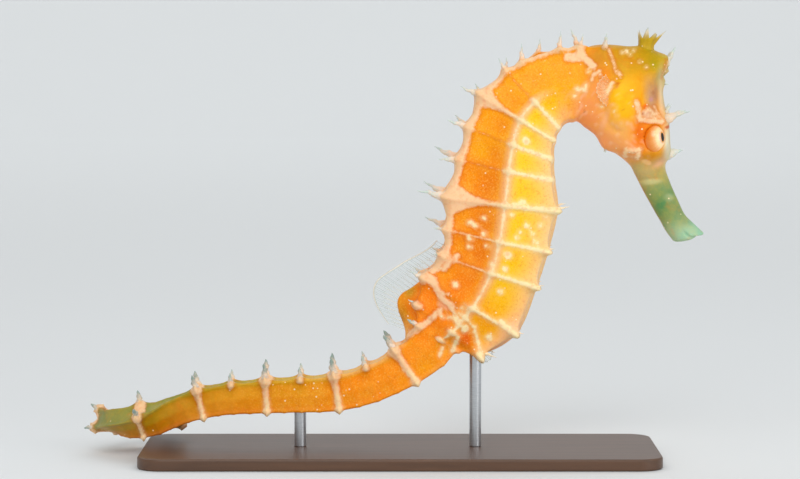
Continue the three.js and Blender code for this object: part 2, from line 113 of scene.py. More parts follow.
# Half of a cross-section from the middle of the back (0) to the middle of the belly (8), as
# height and width shares. Places 2, 4, 6 and 8 carry the ridges.
HEAD_FORM = ((1, 0), (0.95, 0.32), (0.8, 0.58), (0.5, 0.83), (0.1, 1), (-0.34, 0.96), (-0.7, 0.73),
             (-0.92, 0.4), (-1, 0))
TRUNK_FORM = ((0.93, 0), (0.95, 0.26), (1, 0.52), (0.5, 0.75), (0, 1), (-0.43, 0.8), (-0.88, 0.55),
              (-0.95, 0.27), (-1, 0))
TAIL_FORM = ((0.9, 0), (0.93, 0.42), (1, 0.84), (0.5, 0.86), (0, 0.88), (-0.5, 0.86), (-1, 0.84),
             (-0.93, 0.42), (-0.9, 0))
STRONG_RINGS = (1, 4, 7, 11, 14, 18, 22, 26, 30, 34, 38, 42, 46)
TRUNK_START, TAIL_START = (-0.3, 1.2), (10.5, 13.5)  # rings over which one form turns to the next
LOBE_RING, LOBE_SPREAD, LOBE_RISE = 11.6, 1.2, 5.2  # the raised root of the dorsal fin
LOBE_WIDTH = 1.25

EYE = Vector((41.9, 2.8, 53.4))  # the left eye's centre; the right one's y is negative
EYE_HALF = (1.95, 1.85, 2.55)
EYE_LID = 0.3  # how much higher the socket sits than the ball
EYE_RIM, EYE_SUNK = 0.78, 0.4  # how far beyond the ball's middle the rim stands, and the skin
# behind the ball is sunk

# Spines of the back's two ridges: ring, length, lean to the tail in degrees.
BACK_SPINES_RIGHT = (
    (0.1, 3.0, 12), (1, 2.4, -8), (1.5, 3.3, -12), (2.5, 3.4, -30), (3, 2.9, -12), (4, 4.4, 6),
    (5, 4.1, 0), (6, 3.8, 8), (7, 5.8, -6), (8, 2.6, 4), (9, 1.8, 2), (10, 3.0, 4), (11, 2.2, 10),
)
BACK_SPINES_LEFT = (
    (0.1, 2.8, 4), (1, 3.4, 24), (2, 3.0, -30), (3, 2.6, -44), (4, 2.6, -28),
    (5, 3.2, -20), (6, 4.9, -14), (7, 5.1, -22), (8, 4.3, -12), (9, 2.4, -10), (10, 2.6, -6),
    (11, 2.0, 0),
)
BELLY_SPINE, TAIL_SPINE, STRONG_SHARE, LAST_PLAIN_SPINE = 2.1, 2.5, 1.5, 24
BELLY_LEAN, BELLY_ROOT = -20, 0.6
TAIL_WANE = 0.75  # how much of their length the tail's spines lose from ring 18 to its end
# Radius of a spine's root, and how much a millimetre of length adds: neck, trunk, tail.
NECK_ROOT, BACK_ROOT, TAIL_ROOT, BACK_ROOT_GAIN, TAIL_ROOT_GAIN = 0.28, 0.44, 0.36, 0.13, 0.12
# How far the skin is drawn up a spine, from 0 to 1: rings 4 and 7, and the others by kind.
RING_WEBS = {4: 0.8, 7: 1.0}
TRUNK_WEB, NECK_WEB, BELLY_WEB, HEAD_WEB = 0.4, 0.15, 0.3, 0.15
STRONG_TAIL_WEB, PLAIN_TAIL_WEB = 0.35, 0.15
BLUNT_STRONG, BLUNT_PLAIN = 1.0, 0.5  # how blunt the tail's spines are, from 0 to 1

# The crown: its middle x and z, stalk height, waist radius, rim radius; its tines as direction
# round the stalk in degrees, height over the stalk, reach outwards and half width in radians.
CORONET = (40.5, 67.7, 2.5, 1.25, 1.45)
TINES = ((0, 1.3, 1.6, 0.45), (-52, 0.8, 0.6, 0.4), (50, 1.0, 0.7, 0.4), (-105, 2.1, 0.4, 0.36),
         (100, 1.7, 0.5, 0.4), (-155, 1.5, 0.4, 0.36), (150, 1.3, 0.6, 0.4))

PECTORAL = (35.5, 61.6, 4.1, 3.5, 0.95, 0.4)  # root x, z, half spread; length, spread, splay
PECTORAL_RAYS, PECTORAL_BEND = 9, 0.25
ANAL_RING, ANAL = 11.0, (2.4, 0.65, 4, 0.1)  # length, spread, rays and bend
FIN_SUNK = 0.6  # how deep a fin's root sits in the skin
DORSAL_FIRST, DORSAL_LAST, DORSAL_HEIGHT = 8.7, 12.7, 5.2
DORSAL_LEAN, DORSAL_OPENS, DORSAL_SWAY = -0.3, 0.65, 0.35
DORSAL_TUFT = (0.48, 0.09, 0.55)  # where its rays are faintest, how wide that is, how faint
FIN_HALF_THICK, RAY_EXTRA = 0.03, 0.05
FORK, DORSAL_FORK, RAY_FADE, DORSAL_FADE = 0.6, 0.55, 0.65, 0.85  # where rays fork, how they fade
BASE = (86, 30, 2, 4)  # length, width, thickness, corner radius
BASE_EDGE, ROD_EDGE = 0.35, 0.12  # how far their edges are rounded
ROD_RADIUS, ROD_TRUNK, ROD_TAIL = 1.0, 12.6, -16.7

# Single spines of the head: root x, z, half spread; tip x, z, half spread; root radius.
HEAD_SPINES = (
    (43.5, 65.3, 0.4, 45.7, 68.7, 0.7, 1.15),  # crest ahead of the coronet
    (43.2, 62.9, 0.4, 44.5, 62.5, 0.9, 0.7),
    (43.9, 56.8, 1.9, 47.9, 58.2, 3.4, 1.0),  # over the eye
    (43.9, 50.9, 0.4, 47.1, 51.6, 0.0, 1.5),  # on the nose
    (34.6, 52.6, 0.9, 34.0, 51.2, 1.2, 0.7),  # under the chin
    (38.2, 51.9, 3.2, 37.7, 51.3, 4.3, 0.7),  # on the cheek
    (40.5, 58.2, 4.0, 40.0, 58.9, 4.9, 0.8),
    (43.4, 57.0, 1.3, 44.9, 59.3, 2.0, 0.85),  # small, beside the one over the eye
)


def smooth(low, high, value):
    """0 up to low, 1 from high on, and an even rise between; a fall where low is the higher."""
    share = np.clip((value - low) / (high - low), 0, 1)
    return share * share * (3 - 2 * share)


def bell(distance, spread):
    """1 at no distance, fading to nearly 0 at twice the spread."""
    return np.exp(-((distance / spread) ** 2))


def unit(vectors):
    """The same directions with length 1."""
    return vectors / np.linalg.norm(vectors, axis=-1, keepdims=True)


def through(a, b, c, d, s):
    """A smooth curve from b to c, on its way from a to d, at share s of that step."""
    return 0.5 * (2 * b + (c - a) * s + (2 * a - 5 * b + 4 * c - d) * s**2
                  + (3 * b - a - 3 * c + d) * s**3)


def curve(points, count):
    """Points along a smooth curve through the given ones, with count steps between each pair."""
    points = np.asarray(points, float)
    padded = np.vstack([2 * points[0] - points[1], points, 2 * points[-1] - points[-2]])
    made = [through(*padded[k - 1:k + 3], s) for k in range(1, len(padded) - 2)
            for s in np.linspace(0, 1, count, endpoint=False)]
    return np.array(made + [points[-1]])


def tail_line():
    """The tail's middle line as close points with the length run so far."""
    points = [(x, 0.0, z) for x, z in TAIL_LINE]
    for angle in np.arange(COIL_START, COIL_TURN + 0.01, COIL_TURN / COIL_STEPS):
        share = angle / COIL_TURN
        radius = COIL_RADIUS * (1 - COIL_SHRINK * share)
        points.append((
            COIL_CENTRE[0] - radius * math.sin(angle),
            COIL_CENTRE[1] - radius * math.cos(angle),
            COIL_CENTRE[2] - COIL_SAG * smooth(0, 0.3, share) + COIL_RISE * smooth(0.5, 1, share),
        ))
    line = curve(points, LINE_STEPS)
    run = np.concatenate([[0], np.cumsum(np.linalg.norm(np.diff(line, axis=0), axis=1))])
    return line, run


def stations():
    """Ring numbers with centre, back and side directions, half depth and half width."""
    rows = []
    for ring, belly_x, belly_z, back_x, back_z, wide in OUTLINE:
        belly, back = np.array((belly_x, 0, belly_z)), np.array((back_x, 0, back_z))
        deep = np.linalg.norm(back - belly) / 2
        rows.append((ring, (belly + back) / 2, (back - belly) / (2 * deep), np.array((0, -1.0, 0)),
                     deep, wide))
    line, run = tail_line()
    whole = run[-1]
    up = np.array((0, 0, 1.0))
    near = 0.3  # millimetres each way, over which the tail's direction is read
    root, waist, tip = TAIL_HALF

    def at(reach):
        return np.array([np.interp(reach, run, line[:, k]) for k in range(3)])

    for ring in range(OUTLINE[-1][0] + 1, LAST_RING + 1):
        k = ring - OUTLINE[-1][0]
        reach = min(RING_STEP * k - RING_STEP_LOSS / 2 * k * k, whole)
        tangent = unit(at(min(reach + near, whole)) - at(reach - near))
        back = unit(up - tangent * up.dot(tangent))
        out = np.cross(back, tangent)
        roll = TAIL_ROLL * smooth(ROLL_START, ROLL_END, reach)
        if reach < TAIL_TRAIL:
            half = root + (waist - root) * reach / TAIL_TRAIL
        else:
            half = waist + (tip - waist) * ((reach - TAIL_TRAIL) / (whole - TAIL_TRAIL))
        back = back * math.cos(roll) + out * math.sin(roll)
        rows.append((ring, at(reach), back, np.cross(back, tangent), half, half))
    return [np.array([row[k] for row in rows], float) for k in range(6)]


RINGS, CENTRES, BACKS, SIDES, DEEPS, WIDES = stations()


def along(ring, values):
    """A smooth curve through the stations' values, with slopes from the neighbours."""
    ring = np.atleast_1d(np.asarray(ring, float))
    last = len(RINGS) - 2
    i = np.clip(np.searchsorted(RINGS, ring, side="right") - 1, 0, last)

    def slope(k):
        low, high = np.maximum(k - 1, 0), np.minimum(k + 1, last + 1)
        rise = values[high] - values[low]
        step = RINGS[high] - RINGS[low]
        return rise / (step[:, None] if rise.ndim > 1 else step)

    step = RINGS[i + 1] - RINGS[i]
    s = np.clip((ring - RINGS[i]) / step, 0, 1)
    if values.ndim > 1:
        s, step = s[:, None], step[:, None]
    start = 2 * s**3 - 3 * s**2 + 1
    return (start * values[i] + (1 - start) * values[i + 1]
            + step * ((s**3 - 2 * s**2 + s) * slope(i) + (s**3 - s**2) * slope(i + 1)))


def form_at(form, place, rounded):
    """Height and width shares at places 0 to 8: flat plates between ridges, or one round curve."""
    form = np.array(form, float)
    if rounded:
        mirror = np.vstack([form[1] * (1, -1), form, form[7] * (1, -1)])
        i = np.clip(np.floor(place).astype(int), 0, 7)
        return through(*(mirror[i + k] for k in range(4)), (place - i)[:, None])
    i = np.clip((place // 2).astype(int) * 2, 0, 6)
    s = ((place - i) / 2)[:, None]
    a, b, c = form[i], form[i + 1], form[i + 2]
    return a * (1 - s) * (1 - 2 * s) + b * 4 * s * (1 - s) + c * s * (2 * s - 1)


def ways(ring):
    """Unit directions to the back, to the side and to the tail at each ring."""
    backs, sides = unit(along(ring, BACKS)), unit(along(ring, SIDES))
    return backs, sides, unit(np.cross(sides, backs))


def base_surface(ring, place):
    """The smooth surface, before rings and ridges: a grid of points, rings by places 0 to 16."""
    ring, place = np.atleast_1d(np.asarray(ring, float)), np.atleast_1d(np.asarray(place, float))
    left = place > 8
    p = np.where(left, 16 - place, place)
    trunk = smooth(*TRUNK_START, ring)[:, None, None]
    tail = smooth(*TAIL_START, ring)[:, None, None]
    share = form_at(HEAD_FORM, p, True)[None] * (1 - trunk)
    share = share + form_at(TRUNK_FORM, p, False)[None] * trunk
    share = share * (1 - tail) + form_at(TAIL_FORM, p, False)[None] * tail
    lobe = LOBE_RISE * bell(ring - LOBE_RING, LOBE_SPREAD)[:, None] * bell(p, LOBE_WIDTH)[None]
    height = share[..., 0] * along(ring, DEEPS)[:, None] + lobe
    width = share[..., 1] * along(ring, WIDES)[:, None] * np.where(left, -1, 1)[None]
    backs, sides, _ = ways(ring)
    return (along(ring, CENTRES)[:, None] + backs[:, None] * height[..., None]
            + sides[:, None] * width[..., None])


# ---------------------------------------------------------------- the skin's colours

# Colours along the body at four places round it: ring number and sRGB code.
# Towards the tail's end, from ring 20 on, all four turn darker and greener: partly painted shade,
# where the tail lay further from the light.
EDGE_STOPS = (
    (-8, "#A0C4AC"), (-7, "#809C78"), (-5.5, "#8E9868"), (-4, "#B4A878"), (-3, "#C8B898"),
    (-2, "#D2BC98"), (-1.5, "#C8B078"), (-0.9, "#A09028"), (-0.2, "#B88C20"), (0.5, "#C8962C"),
    (1.2, "#ECA030"), (3, "#F4A02C"), (6, "#EE921C"), (9, "#F09418"), (11, "#F08C18"),
    (12.5, "#F0B070"), (14, "#ECC090"), (17, "#DCBC88"), (20, "#C4A85C"), (23, "#A49848"),
    (27, "#8A8C44"), (36, "#8A9060"), (48, "#9A9468"),
)
BACK_STOPS = (
    (-8, "#9CC4AC"), (-7.2, "#7C9C78"), (-6.2, "#6E8C62"), (-5.2, "#849462"), (-4.2, "#A89A62"),
    (-3.4, "#D0984C"), (-2.6, "#E89438"), (-1.8, "#F2A030"), (-1.2, "#D89C34"), (-0.7, "#C09828"),
    (0.2, "#D8901C"), (1.2, "#FCA818"), (4, "#F8A828"), (5, "#F6A42C"), (6, "#EE9018"),
    (8, "#EE8C18"), (10, "#F58A12"), (13, "#F8941A"), (17, "#F49418"), (20, "#E09828"),
    (24, "#D89426"),
    (27, "#BC8428"), (30, "#A0823A"), (36, "#94804A"), (48, "#9C8458"),
)
SIDE_STOPS = (
    (-8, "#ACC8A8"), (-6.5, "#8C9C6C"), (-5, "#A4A46C"), (-4, "#C0A474"), (-3.3, "#E0A468"),
    (-2.6, "#F4AC74"), (-1.8, "#F8B078"), (-1, "#F8AC6C"), (-0.3, "#F4A468"), (0.6, "#F4A468"),
    (1.5, "#F8B058"), (2.6, "#FCC84C"), (4, "#FFD260"), (7, "#FCD060"), (9, "#FCC854"),
    (10.5, "#F8A830"), (12, "#F89A1C"), (16, "#F6921C"), (20, "#E89628"), (24, "#DC8E28"),
    (28, "#BC7A28"), (34, "#A8763A"), (48, "#A88054"),
)
BELLY_STOPS = (
    (-8, "#B8C8A4"), (-6.5, "#BC9860"), (-5, "#C8945C"), (-4, "#D09C70"), (-3.2, "#EBA878"),
    (-2.2, "#F6A878"), (-1, "#F2A070"), (0, "#F09C6C"), (1.2, "#F4AC78"), (2.6, "#F6C490"),
    (5, "#F6CC98"), (8, "#F6CC9C"), (10, "#F8C898"), (11.5, "#F4A068"), (13, "#F4A060"),
    (16, "#F08C38"), (20, "#E08840"), (24, "#D07C3C"), (30, "#B87040"), (48, "#B08058"),
)

# Soft patches of colour in side view, on both sides: middle x and z, half sizes, turn, sRGB
# code, strength, and how firm the edge is.
PATCHES = (
    (25.7, 64, 2.67, 2, 0.2, "#FFA80C", 0.7, 1),  # upper back
    (13.4, 51.6, 1.6, 1.6, 0, "#F6B43C", 0.6, 1),  # back, golden
    (32.9, 66.9, 1.83, 1.67, 0, "#CC8A18", 1, 1),  # nape
    (33.9, 64.4, 1.33, 1.33, 0, "#E88A10", 0.85, 1),  # nape, deep
    (38.5, 66, 3, 2.5, 0, "#C69420", 0.9, 1),  # crown, olive
    (42, 65.9, 1.5, 1.33, 0, "#A8941C", 1, 1),  # crown, green
    (39.5, 63.7, 2.33, 1.35, 0, "#DCA048", 0.85, 1),  # crown, low
    (42.8, 63.7, 0.83, 2.5, -0.3, "#B4A468", 1, 1),  # crown, front
    (31.3, 57.8, 3.33, 3, 0.5, "#F49E6C", 0.9, 1),  # throat
    (34.6, 53.6, 2.67, 2.17, 0.7, "#F6A878", 0.95, 1),  # throat, low
    (37.5, 53.5, 2, 2, 0, "#F8B078", 0.9, 1),  # cheek
    (32.6, 61.4, 1.5, 2.67, 0.1, "#F8A868", 0.85, 1),  # behind gill
    (36.9, 59.6, 2.55, 3.8, -0.12, "#FFBE10", 0.95, 1),  # gill cover
    (36.1, 61.1, 1.17, 2, -0.2, "#FFC412", 0.9, 1),  # gill cover, back
    (36.6, 55.5, 2, 1.5, 0, "#FCB878", 0.95, 1),  # gill cover, low
    (38.9, 60.6, 1.17, 2.33, 0, "#FBA81C", 0.85, 1),  # gill cover, front
    (35.7, 62.5, 0.33, 0.67, -0.2, "#D06A14", 0.9, 2),  # gill notch
    (33.8, 56.8, 0.5, 2.33, -0.35, "#FABE98", 0.7, 1),  # gill arc
    (39.5, 54.5, 1.5, 2.67, 0, "#E26804", 1, 1),  # socket
    (41.2, 56.3, 1.33, 0.67, 0, "#EC7C18", 0.9, 1),  # socket, high
    (41.2, 50.8, 1.7, 0.83, 0.4, "#C47E2C", 1, 1),  # under eye
    (40, 51.5, 0.67, 1, 0, "#D88430", 0.8, 1),  # under eye, edge
    (41.3, 60.2, 1.25, 3, 0.1, "#C09478", 1, 1),  # front band
    (42, 61.1, 0.6, 1.9, 0, "#AC7C64", 0.85, 1),  # front band, dark
    (43.1, 60.2, 0.4, 3.67, 0.03, "#EEDCC0", 0.6, 1),  # front edge
    (44.1, 53, 0.65, 3.3, 0, "#DCD8C0", 1, 1),  # eye rim, front
    (42.8, 49.5, 1.17, 0.67, 0.5, "#EDB898", 0.85, 1),  # eye rim, low
    (41.3, 60.1, 0.4, 0.37, 0, "#B080A0", 0.6, 2),  # violet dot
    (41.7, 61.2, 0.33, 0.33, 0, "#A06C54", 0.8, 3),  # violet dot, high
    (40.3, 57.7, 0.95, 0.6, -0.5, "#FFDCC0", 0.8, 3),  # brow
    (40.1, 59, 0.5, 0.42, 0.6, "#EC7410", 0.9, 3),  # brow notch
    (44.1, 55.5, 0.57, 0.28, 0.2, "#B85434", 0.95, 3),  # spot by the eye spine
    (36.6, 58.5, 0.2, 0.2, 0, "#B8741C", 0.8, 2),  # dark dot
    (39.8, 57.8, 0.23, 0.22, 0, "#A85A2C", 0.9, 2),  # dark dot, brow
    (38.6, 51.7, 0.22, 0.22, 0, "#A8703C", 0.9, 2),  # dark dot, cheek
    (30.4, 58.1, 0.2, 0.2, 0, "#A8602C", 0.8, 2),  # dark dot, throat
    (40.8, 49.7, 0.83, 0.43, -0.4, "#FCC898", 1, 4),  # mark under eye
    (39.5, 48.7, 1.67, 1.17, 0.5, "#C2B27C", 0.9, 1),  # snout, root
    (41.5, 46.4, 1.83, 0.5, 0.1, "#D6CC98", 0.8, 2),  # snout band
    (44.5, 43.7, 0.92, 0.67, 0.3, "#BFC4A0", 0.85, 2),  # snout mark
    (43.5, 42.6, 2.1, 3.2, 0.5, "#5E8858", 1, 1),  # snout, green
    (41.2, 42.6, 0.58, 2.67, 0.5, "#C8985C", 0.6, 1),  # snout, lower edge
    (48.1, 37.9, 2.33, 1.17, 0.4, "#98C4A8", 0.9, 1),  # lips
    (4, 25.9, 2.83, 3.33, 0, "#FF8A08", 1, 3),  # lobe
    (1.6, 28.2, 1, 1.3, 0, "#98822C", 0.75, 1),  # lobe, olive
    (0.3, 24.1, 1.17, 1.83, 0, "#A87420", 0.6, 1),  # lobe, low
    (7.2, 26, 1.33, 0.75, -0.3, "#F6B494", 0.9, 3),  # node
    (14.7, 23.4, 2.17, 2.33, 0, "#FFA410", 0.85, 1),  # last plate
    (18.4, 21.9, 1.6, 2.1, -0.5, "#FAC09C", 1, 1),  # last corner
    # The last edge's pale peach is painted lighter than the skin's own, to lift the shade under
    # the trunk.
    (15.8, 18.8, 2.17, 1, 0.35, "#FFBC94", 1, 1),  # last edge
    (10.9, 20.4, 1.5, 2, 0, "#E66A0C", 1, 1),  # hip
    (11.5, 28, 2, 3.33, 0.2, "#F88C1C", 0.6, 1),  # lower back
)
# Pale raised streaks in side view: from x, z to x, z, and half width.
STREAKS = (
    (27.7, 67, 30, 67, 0.67), (30, 67.3, 31.9, 65.5, 0.5), (34.4, 68, 35.1, 66.4, 0.17),
    (35.1, 66.4, 35.6, 64.5, 0.2), (36.1, 64.2, 36.2, 64, 0.3), (31.5, 63.2, 31.8, 64.2, 0.18),
    (31.8, 64.2, 32.8, 64.7, 0.25), (32.8, 64.7, 33, 63.9, 0.2), (33.1, 62.6, 33.8, 61.1, 0.28),
    (33.8, 61.1, 33.4, 60.2, 0.25), (34.9, 62.9, 33.8, 60.6, 0.28), (30.5, 62.4, 30.5, 62.3, 0.25),
    (29.1, 61.8, 30.5, 61.6, 0.33), (38.7, 59.7, 39.3, 57.1, 0.34), (39.4, 56.8, 43, 56.4, 0.34),
    (40, 57.9, 40.5, 58.6, 0.23), (40.5, 58.6, 41.8, 57.6, 0.27), (40.8, 57.4, 42, 56.9, 0.25),
    (41.8, 58.9, 43, 56.6, 0.15), (43.6, 63.7, 44.3, 66.4, 0.2), (37.4, 52, 39.5, 51.9, 0.28),
    (39.4, 52, 39.4, 50.7, 0.25), (37.4, 52, 37.3, 50.8, 0.38), (39, 50.7, 39.2, 50.3, 0.2),
    (9.6, 34.3, 7.2, 32, 0.33), (4.1, 31, 5.4, 30.2, 0.72), (5.4, 30.2, 6.8, 27.4, 0.52),
    (6.8, 27.2, 8.7, 25.9, 0.46), (8.2, 25.9, 9.1, 24.7, 0.28), (6.6, 25.2, 4.6, 23.2, 0.42),
    (4.6, 23.2, 1.8, 21.1, 0.46), (1.8, 21.1, -1.3, 19.3, 0.42), (7.1, 27.9, 7.9, 27.9, 0.25),
    (11.9, 25.7, 13, 25.8, 0.2), (11.7, 25.7, 11, 23.9, 0.25), (11, 23.9, 12, 22.6, 0.22),
    (12.3, 22.4, 13.3, 18.4, 0.3), (9.6, 20.9, 8.7, 18.4, 0.33), (7.1, 18.9, 6.6, 17.5, 0.25),
    (16.6, 23.4, 19.2, 21.2, 0.42), (-0.3, 20.4, 1.3, 21.7, 0.25),
)
# Cream dots in side view: x, z and radius.
DOTS = (
    (11.5, 39.8, 0.5), (13.8, 38.1, 0.47), (11.5, 37.1, 0.47), (9.4, 23.7, 0.63),
    (10.7, 22.2, 0.7), (10, 24.7, 0.43), (9.1, 29.5, 0.53), (10.4, 25.7, 0.4), (7.1, 24.1, 0.3),
    (8.1, 24.1, 0.3), (20.9, 39.3, 0.5), (19.3, 37.4, 0.43), (17.8, 34.5, 0.67), (17.3, 32.2, 0.5),
    (16.6, 28.4, 0.47), (14.8, 20.6, 0.6), (20.1, 43.2, 0.57), (18.9, 42.7, 0.57),
    (20.7, 53.3, 0.67), (20.1, 52, 0.43), (12.5, 39.3, 0.4), (13.8, 40.6, 0.4), (21.9, 37.9, 0.4),
    (23.1, 39.3, 0.4), (22.4, 36.6, 0.43), (14.3, 36, 0.33), (11.4, 35.8, 0.4), (30.6, 62.4, 0.33),
    (31, 64.7, 0.3), (28.8, 60.6, 0.33), (32.3, 51.2, 0.27), (20.7, 42.4, 0.4), (18.4, 41.2, 0.4),
    (15.1, 33, 0.37), (19.8, 38.3, 0.33), (23.9, 40.7, 0.3), (36.6, 67.8, 0.2), (37.4, 68, 0.24),
    (37.9, 67.5, 0.18), (38.6, 68.1, 0.18), (39.5, 66.3, 0.16), (40.5, 65.4, 0.16),
    (35.4, 58.2, 0.2), (33.2, 58.9, 0.22),
)
# Rings whose edge widens to a web on the back's ridge: half width of the web there, and the
# place where it has thinned to a line.
WEBS = {1: (1.6, 2.6), 4: (2.9, 3.5), 7: (4.6, 3.7)}

VIVID = 1.15  # how much fuller a living skin's colours are than the stops


def linear(code):
    """An sRGB hex colour as linear red, green, blue and alpha."""
    shares = [int(code[k:k + 2], 16) / 255 for k in (1, 3, 5)]
    return (*(c / 12.92 if c <= 0.04045 else ((c + 0.055) / 1.055) ** 2.4 for c in shares), 1.0)


def blend(under, over, share):
    """Colours mixed point by point; over may be one sRGB code."""
    over = np.asarray(linear(over)[:3]) if isinstance(over, str) else over
    return under + (over - under) * share[..., None]


def ramp(values, stops):
    """Colours between stops of (value, sRGB code), as linear red, green and blue."""
    places = [at for at, _ in stops]
    codes = np.array([linear(code)[:3] for _, code in stops])
    return np.stack([np.interp(values, places, codes[:, k]) for k in range(3)], -1)


def turned(x, z, middle_x, middle_z, half_x, half_z, turn):
    """Distance from a patch's middle in units of its half sizes."""
    c, s = math.cos(turn), math.sin(turn)
    u = ((x - middle_x) * c + (z - middle_z) * s) / half_x
    v = (-(x - middle_x) * s + (z - middle_z) * c) / half_z
    return np.hypot(u, v)


def paint(points, ring, place, inside=0.0):
    """The colour of bare skin at each point, before its pale network. inside is 1 in mid plate."""
    x, z = points[..., 0], points[..., 2]
    firm, late = smooth(0.5, 2.0, ring), smooth(11.5, 14, ring)
    colour = ramp(ring, EDGE_STOPS)
    for stops, low, high in (
        (BACK_STOPS, 0.7 + 0.9 * late, 2.4 + 0.3 * late),
        (SIDE_STOPS, 2.6 + 0.9 * firm, 5.4 - 0.9 * firm),
        (BELLY_STOPS, 7.2 - 2.7 * firm, 7.2 - 0.8 * firm),
    ):
        colour = blend(colour, ramp(ring, stops), smooth(low, high, place))
    plates = inside * smooth(3.2, 4.2, ring) * smooth(10.6, 9.4, ring)
    side_line = bell(place - 4, 0.28) * smooth(1.5, 3.0, ring) * smooth(11.2, 10, ring)
    deeper = np.where((place < 4)[..., None], linear("#EE8410")[:3], linear("#FFBC18")[:3])
    for over, share in (
        (deeper, 0.4 * inside * firm * np.ones_like(ring)),
        ("#D8700C", 0.4 * bell(place - 3.45, 0.35) * plates),  # darker towards the side's ridge
        ("#FBB02C", 0.45 * bell(place - 2.5, 0.3) * plates),  # golden below the back's ridge
        ("#FAC098", 0.8 * side_line),
    ):
        colour = blend(colour, over, share)
    for *patch, code, strength, edge in PATCHES:
        beside = smooth(0.05, 0.6, place) if edge > 1 else 1.0
        share = strength * beside * np.exp(-turned(x, z, *patch) ** (2 * edge))
        colour = blend(colour, code, share)
    blotch = np.sin(2.3 * x + 1.6 * np.sin(1.9 * z)) * np.sin(2.0 * z + 1.4 * np.sin(2.6 * x + 1))
    throat = smooth(-3.6, -2.6, ring) * smooth(2.2, 0.8, ring) * smooth(3.6, 4.6, place)
    colour = blend(colour, "#FFD8BE", 0.3 * smooth(0, 1, blotch) * throat)
    grey = (colour @ np.array((0.3, 0.6, 0.1)))[..., None]
    return np.clip(grey + (colour - grey) * VIVID, 0, 1)


# ---------------------------------------------------------------- the skin's relief and markings

AROUND = 96  # points round each of the skin's loops
# Stretches of the skin by rings, with their numbers of loops: head, trunk, tail.
LOOPS = ((-7.75, 1, 222), (1, 12, 264), (12, 30, 216))
COIL_LOOPS = 110
MOUTH_ROUND, TIP_ROUND = 0.2, 0.9  # rings over which the skin's two ends close

# The pale bands along the ring edges, as half widths in millimetres. Below 0 only a halo shows.
BACK_BAND, BACK_BAND_4, BACK_BAND_7, BACK_BAND_LOW = -0.14, 0.3, 0.34, 0.05
NECK_BAND, BELLY_BAND, BELLY_BAND_7, BELLY_SWELL = -0.3, 0.32, 0.44, 0.35
TAIL_BAND, TAIL_SWELL_TOP, TAIL_SWELL_LOW, PLAIN_TAIL_BAND = 0.54, 0.9, 0.35, -0.9
FAINT_BAND, HIDDEN_BAND, NO_LINE = -0.5, -0.6, -1.0
# The pale lines along the ridges: the back's by ring, the side's, and the one towards the belly.
MARGIN = ((0, 3, 4.5, 9.5), (0.3, 0.4, 0.75, 0.8))
SIDE_LINE, LOWER_LINE = 0.2, -0.1
MARGIN_LOSS = 1.9  # how much less the back's is on the tail
BARE_TO = 3.2  # up to this ring the spines stand on bare skin
CROSSING = 0.55  # the pale knob where a ring crosses the side's ridge

# Relief in millimetres: ring edges on trunk and tail and what a strong ring adds, ridges, the
# plates' hollows, the pale network, and a spine's foot with what a web adds to it.
RING_HIGH, TAIL_RING_HIGH, STRONG_HIGH, RIDGE_HIGH = 0.13, 0.06, 0.2, 0.22
PLATE_DEEP, PALE_HIGH, FOOT_HIGH, WEB_HIGH = 0.16, 0.13, 0.6, 1.0
FOOT_REACH, WEB_REACH = 1.3, 2.5
KNOB_HIGH = 0.35

# The head's relief in side view: middle x and z, half sizes and turn.
GILL_COVER = (37.0, 59.4, 2.7, 4.1, -0.2)
CHEEK_BONE = (39.0, 51.6, 1.5, 1.1, 0.1)
GILL_HIGH, GILL_EDGE_DEEP, CHEEK_HIGH, CROWN_FOOT_HIGH, MOUTH_DEEP = 0.7, 0.22, 0.25, 0.55, 0.4


def skin_rings():
    """Where the skin's loops lie: close on head and trunk, wider down the tail."""
    start = LOOPS[0][0]
    mouth = OUTLINE[0][0] + (start - OUTLINE[0][0]) * np.linspace(0, 1, 9)[1:-1] ** 1.6
    body = [np.linspace(low, high, count, endpoint=False) for low, high, count in LOOPS]
    coil = np.linspace(LOOPS[-1][1], LAST_RING - 0.05, COIL_LOOPS)
    return np.concatenate([mouth, *body, coil])


def blunted(rings, points):
    """Closes the mouth's end and the tail's tip in a round."""
    start = np.clip((OUTLINE[0][0] + MOUTH_ROUND - rings) / MOUTH_ROUND, 0, 1)
    end = np.clip((rings - LAST_RING + TIP_ROUND) / TIP_ROUND, 0, 1)
    share = np.sqrt(np.clip(1 - start**3.5, 0.0004, 1)) * np.sqrt(1 - end**2 * 0.98)
    centre = along(rings, CENTRES)[:, None]
    return centre + (points - centre) * share[:, None, None]


def grid_normals(points):
    """Outward unit normals of a closed-round grid of points."""
    around = np.roll(points, -1, axis=1) - np.roll(points, 1, axis=1)
    length = np.gradient(points, axis=0)
    return unit(np.cross(length, around))


def body_fields(rings, places, points):
    """Places and distances in millimetres of each point: nearest ring edge, ridge and the like."""
    ring = np.repeat(rings[:, None], len(places), 1)
    place = np.repeat(places[None], len(rings), 0)
    folded = np.where(place > 8, 16 - place, place)
    along_mm = np.linalg.norm(np.gradient(points, axis=0), axis=-1) / np.gradient(rings)[:, None]
    step = places[1] - places[0]
    around_mm = np.roll(points, -1, 1) - np.roll(points, 1, 1)
    around_mm = np.linalg.norm(around_mm, axis=-1) / (2 * step)
    nearest = np.clip(np.round(ring), 1, LAST_RING - 1)
    return {
        "ring": ring,
        "place": folded,
        "nearest": nearest,
        "strong": np.isin(nearest, STRONG_RINGS).astype(float),
        "to_ring": np.abs(ring - nearest) * along_mm,
        "to_ridge": np.abs(folded - 2 * np.round(folded / 2)) * around_mm,
        "ridge": 2 * np.round(folded / 2),
        "body": smooth(0.9, 2.2, ring),
        "tail": smooth(11.2, 13, ring),
        "thick": np.repeat(along(rings, DEEPS)[:, None], len(places), 1),
    }


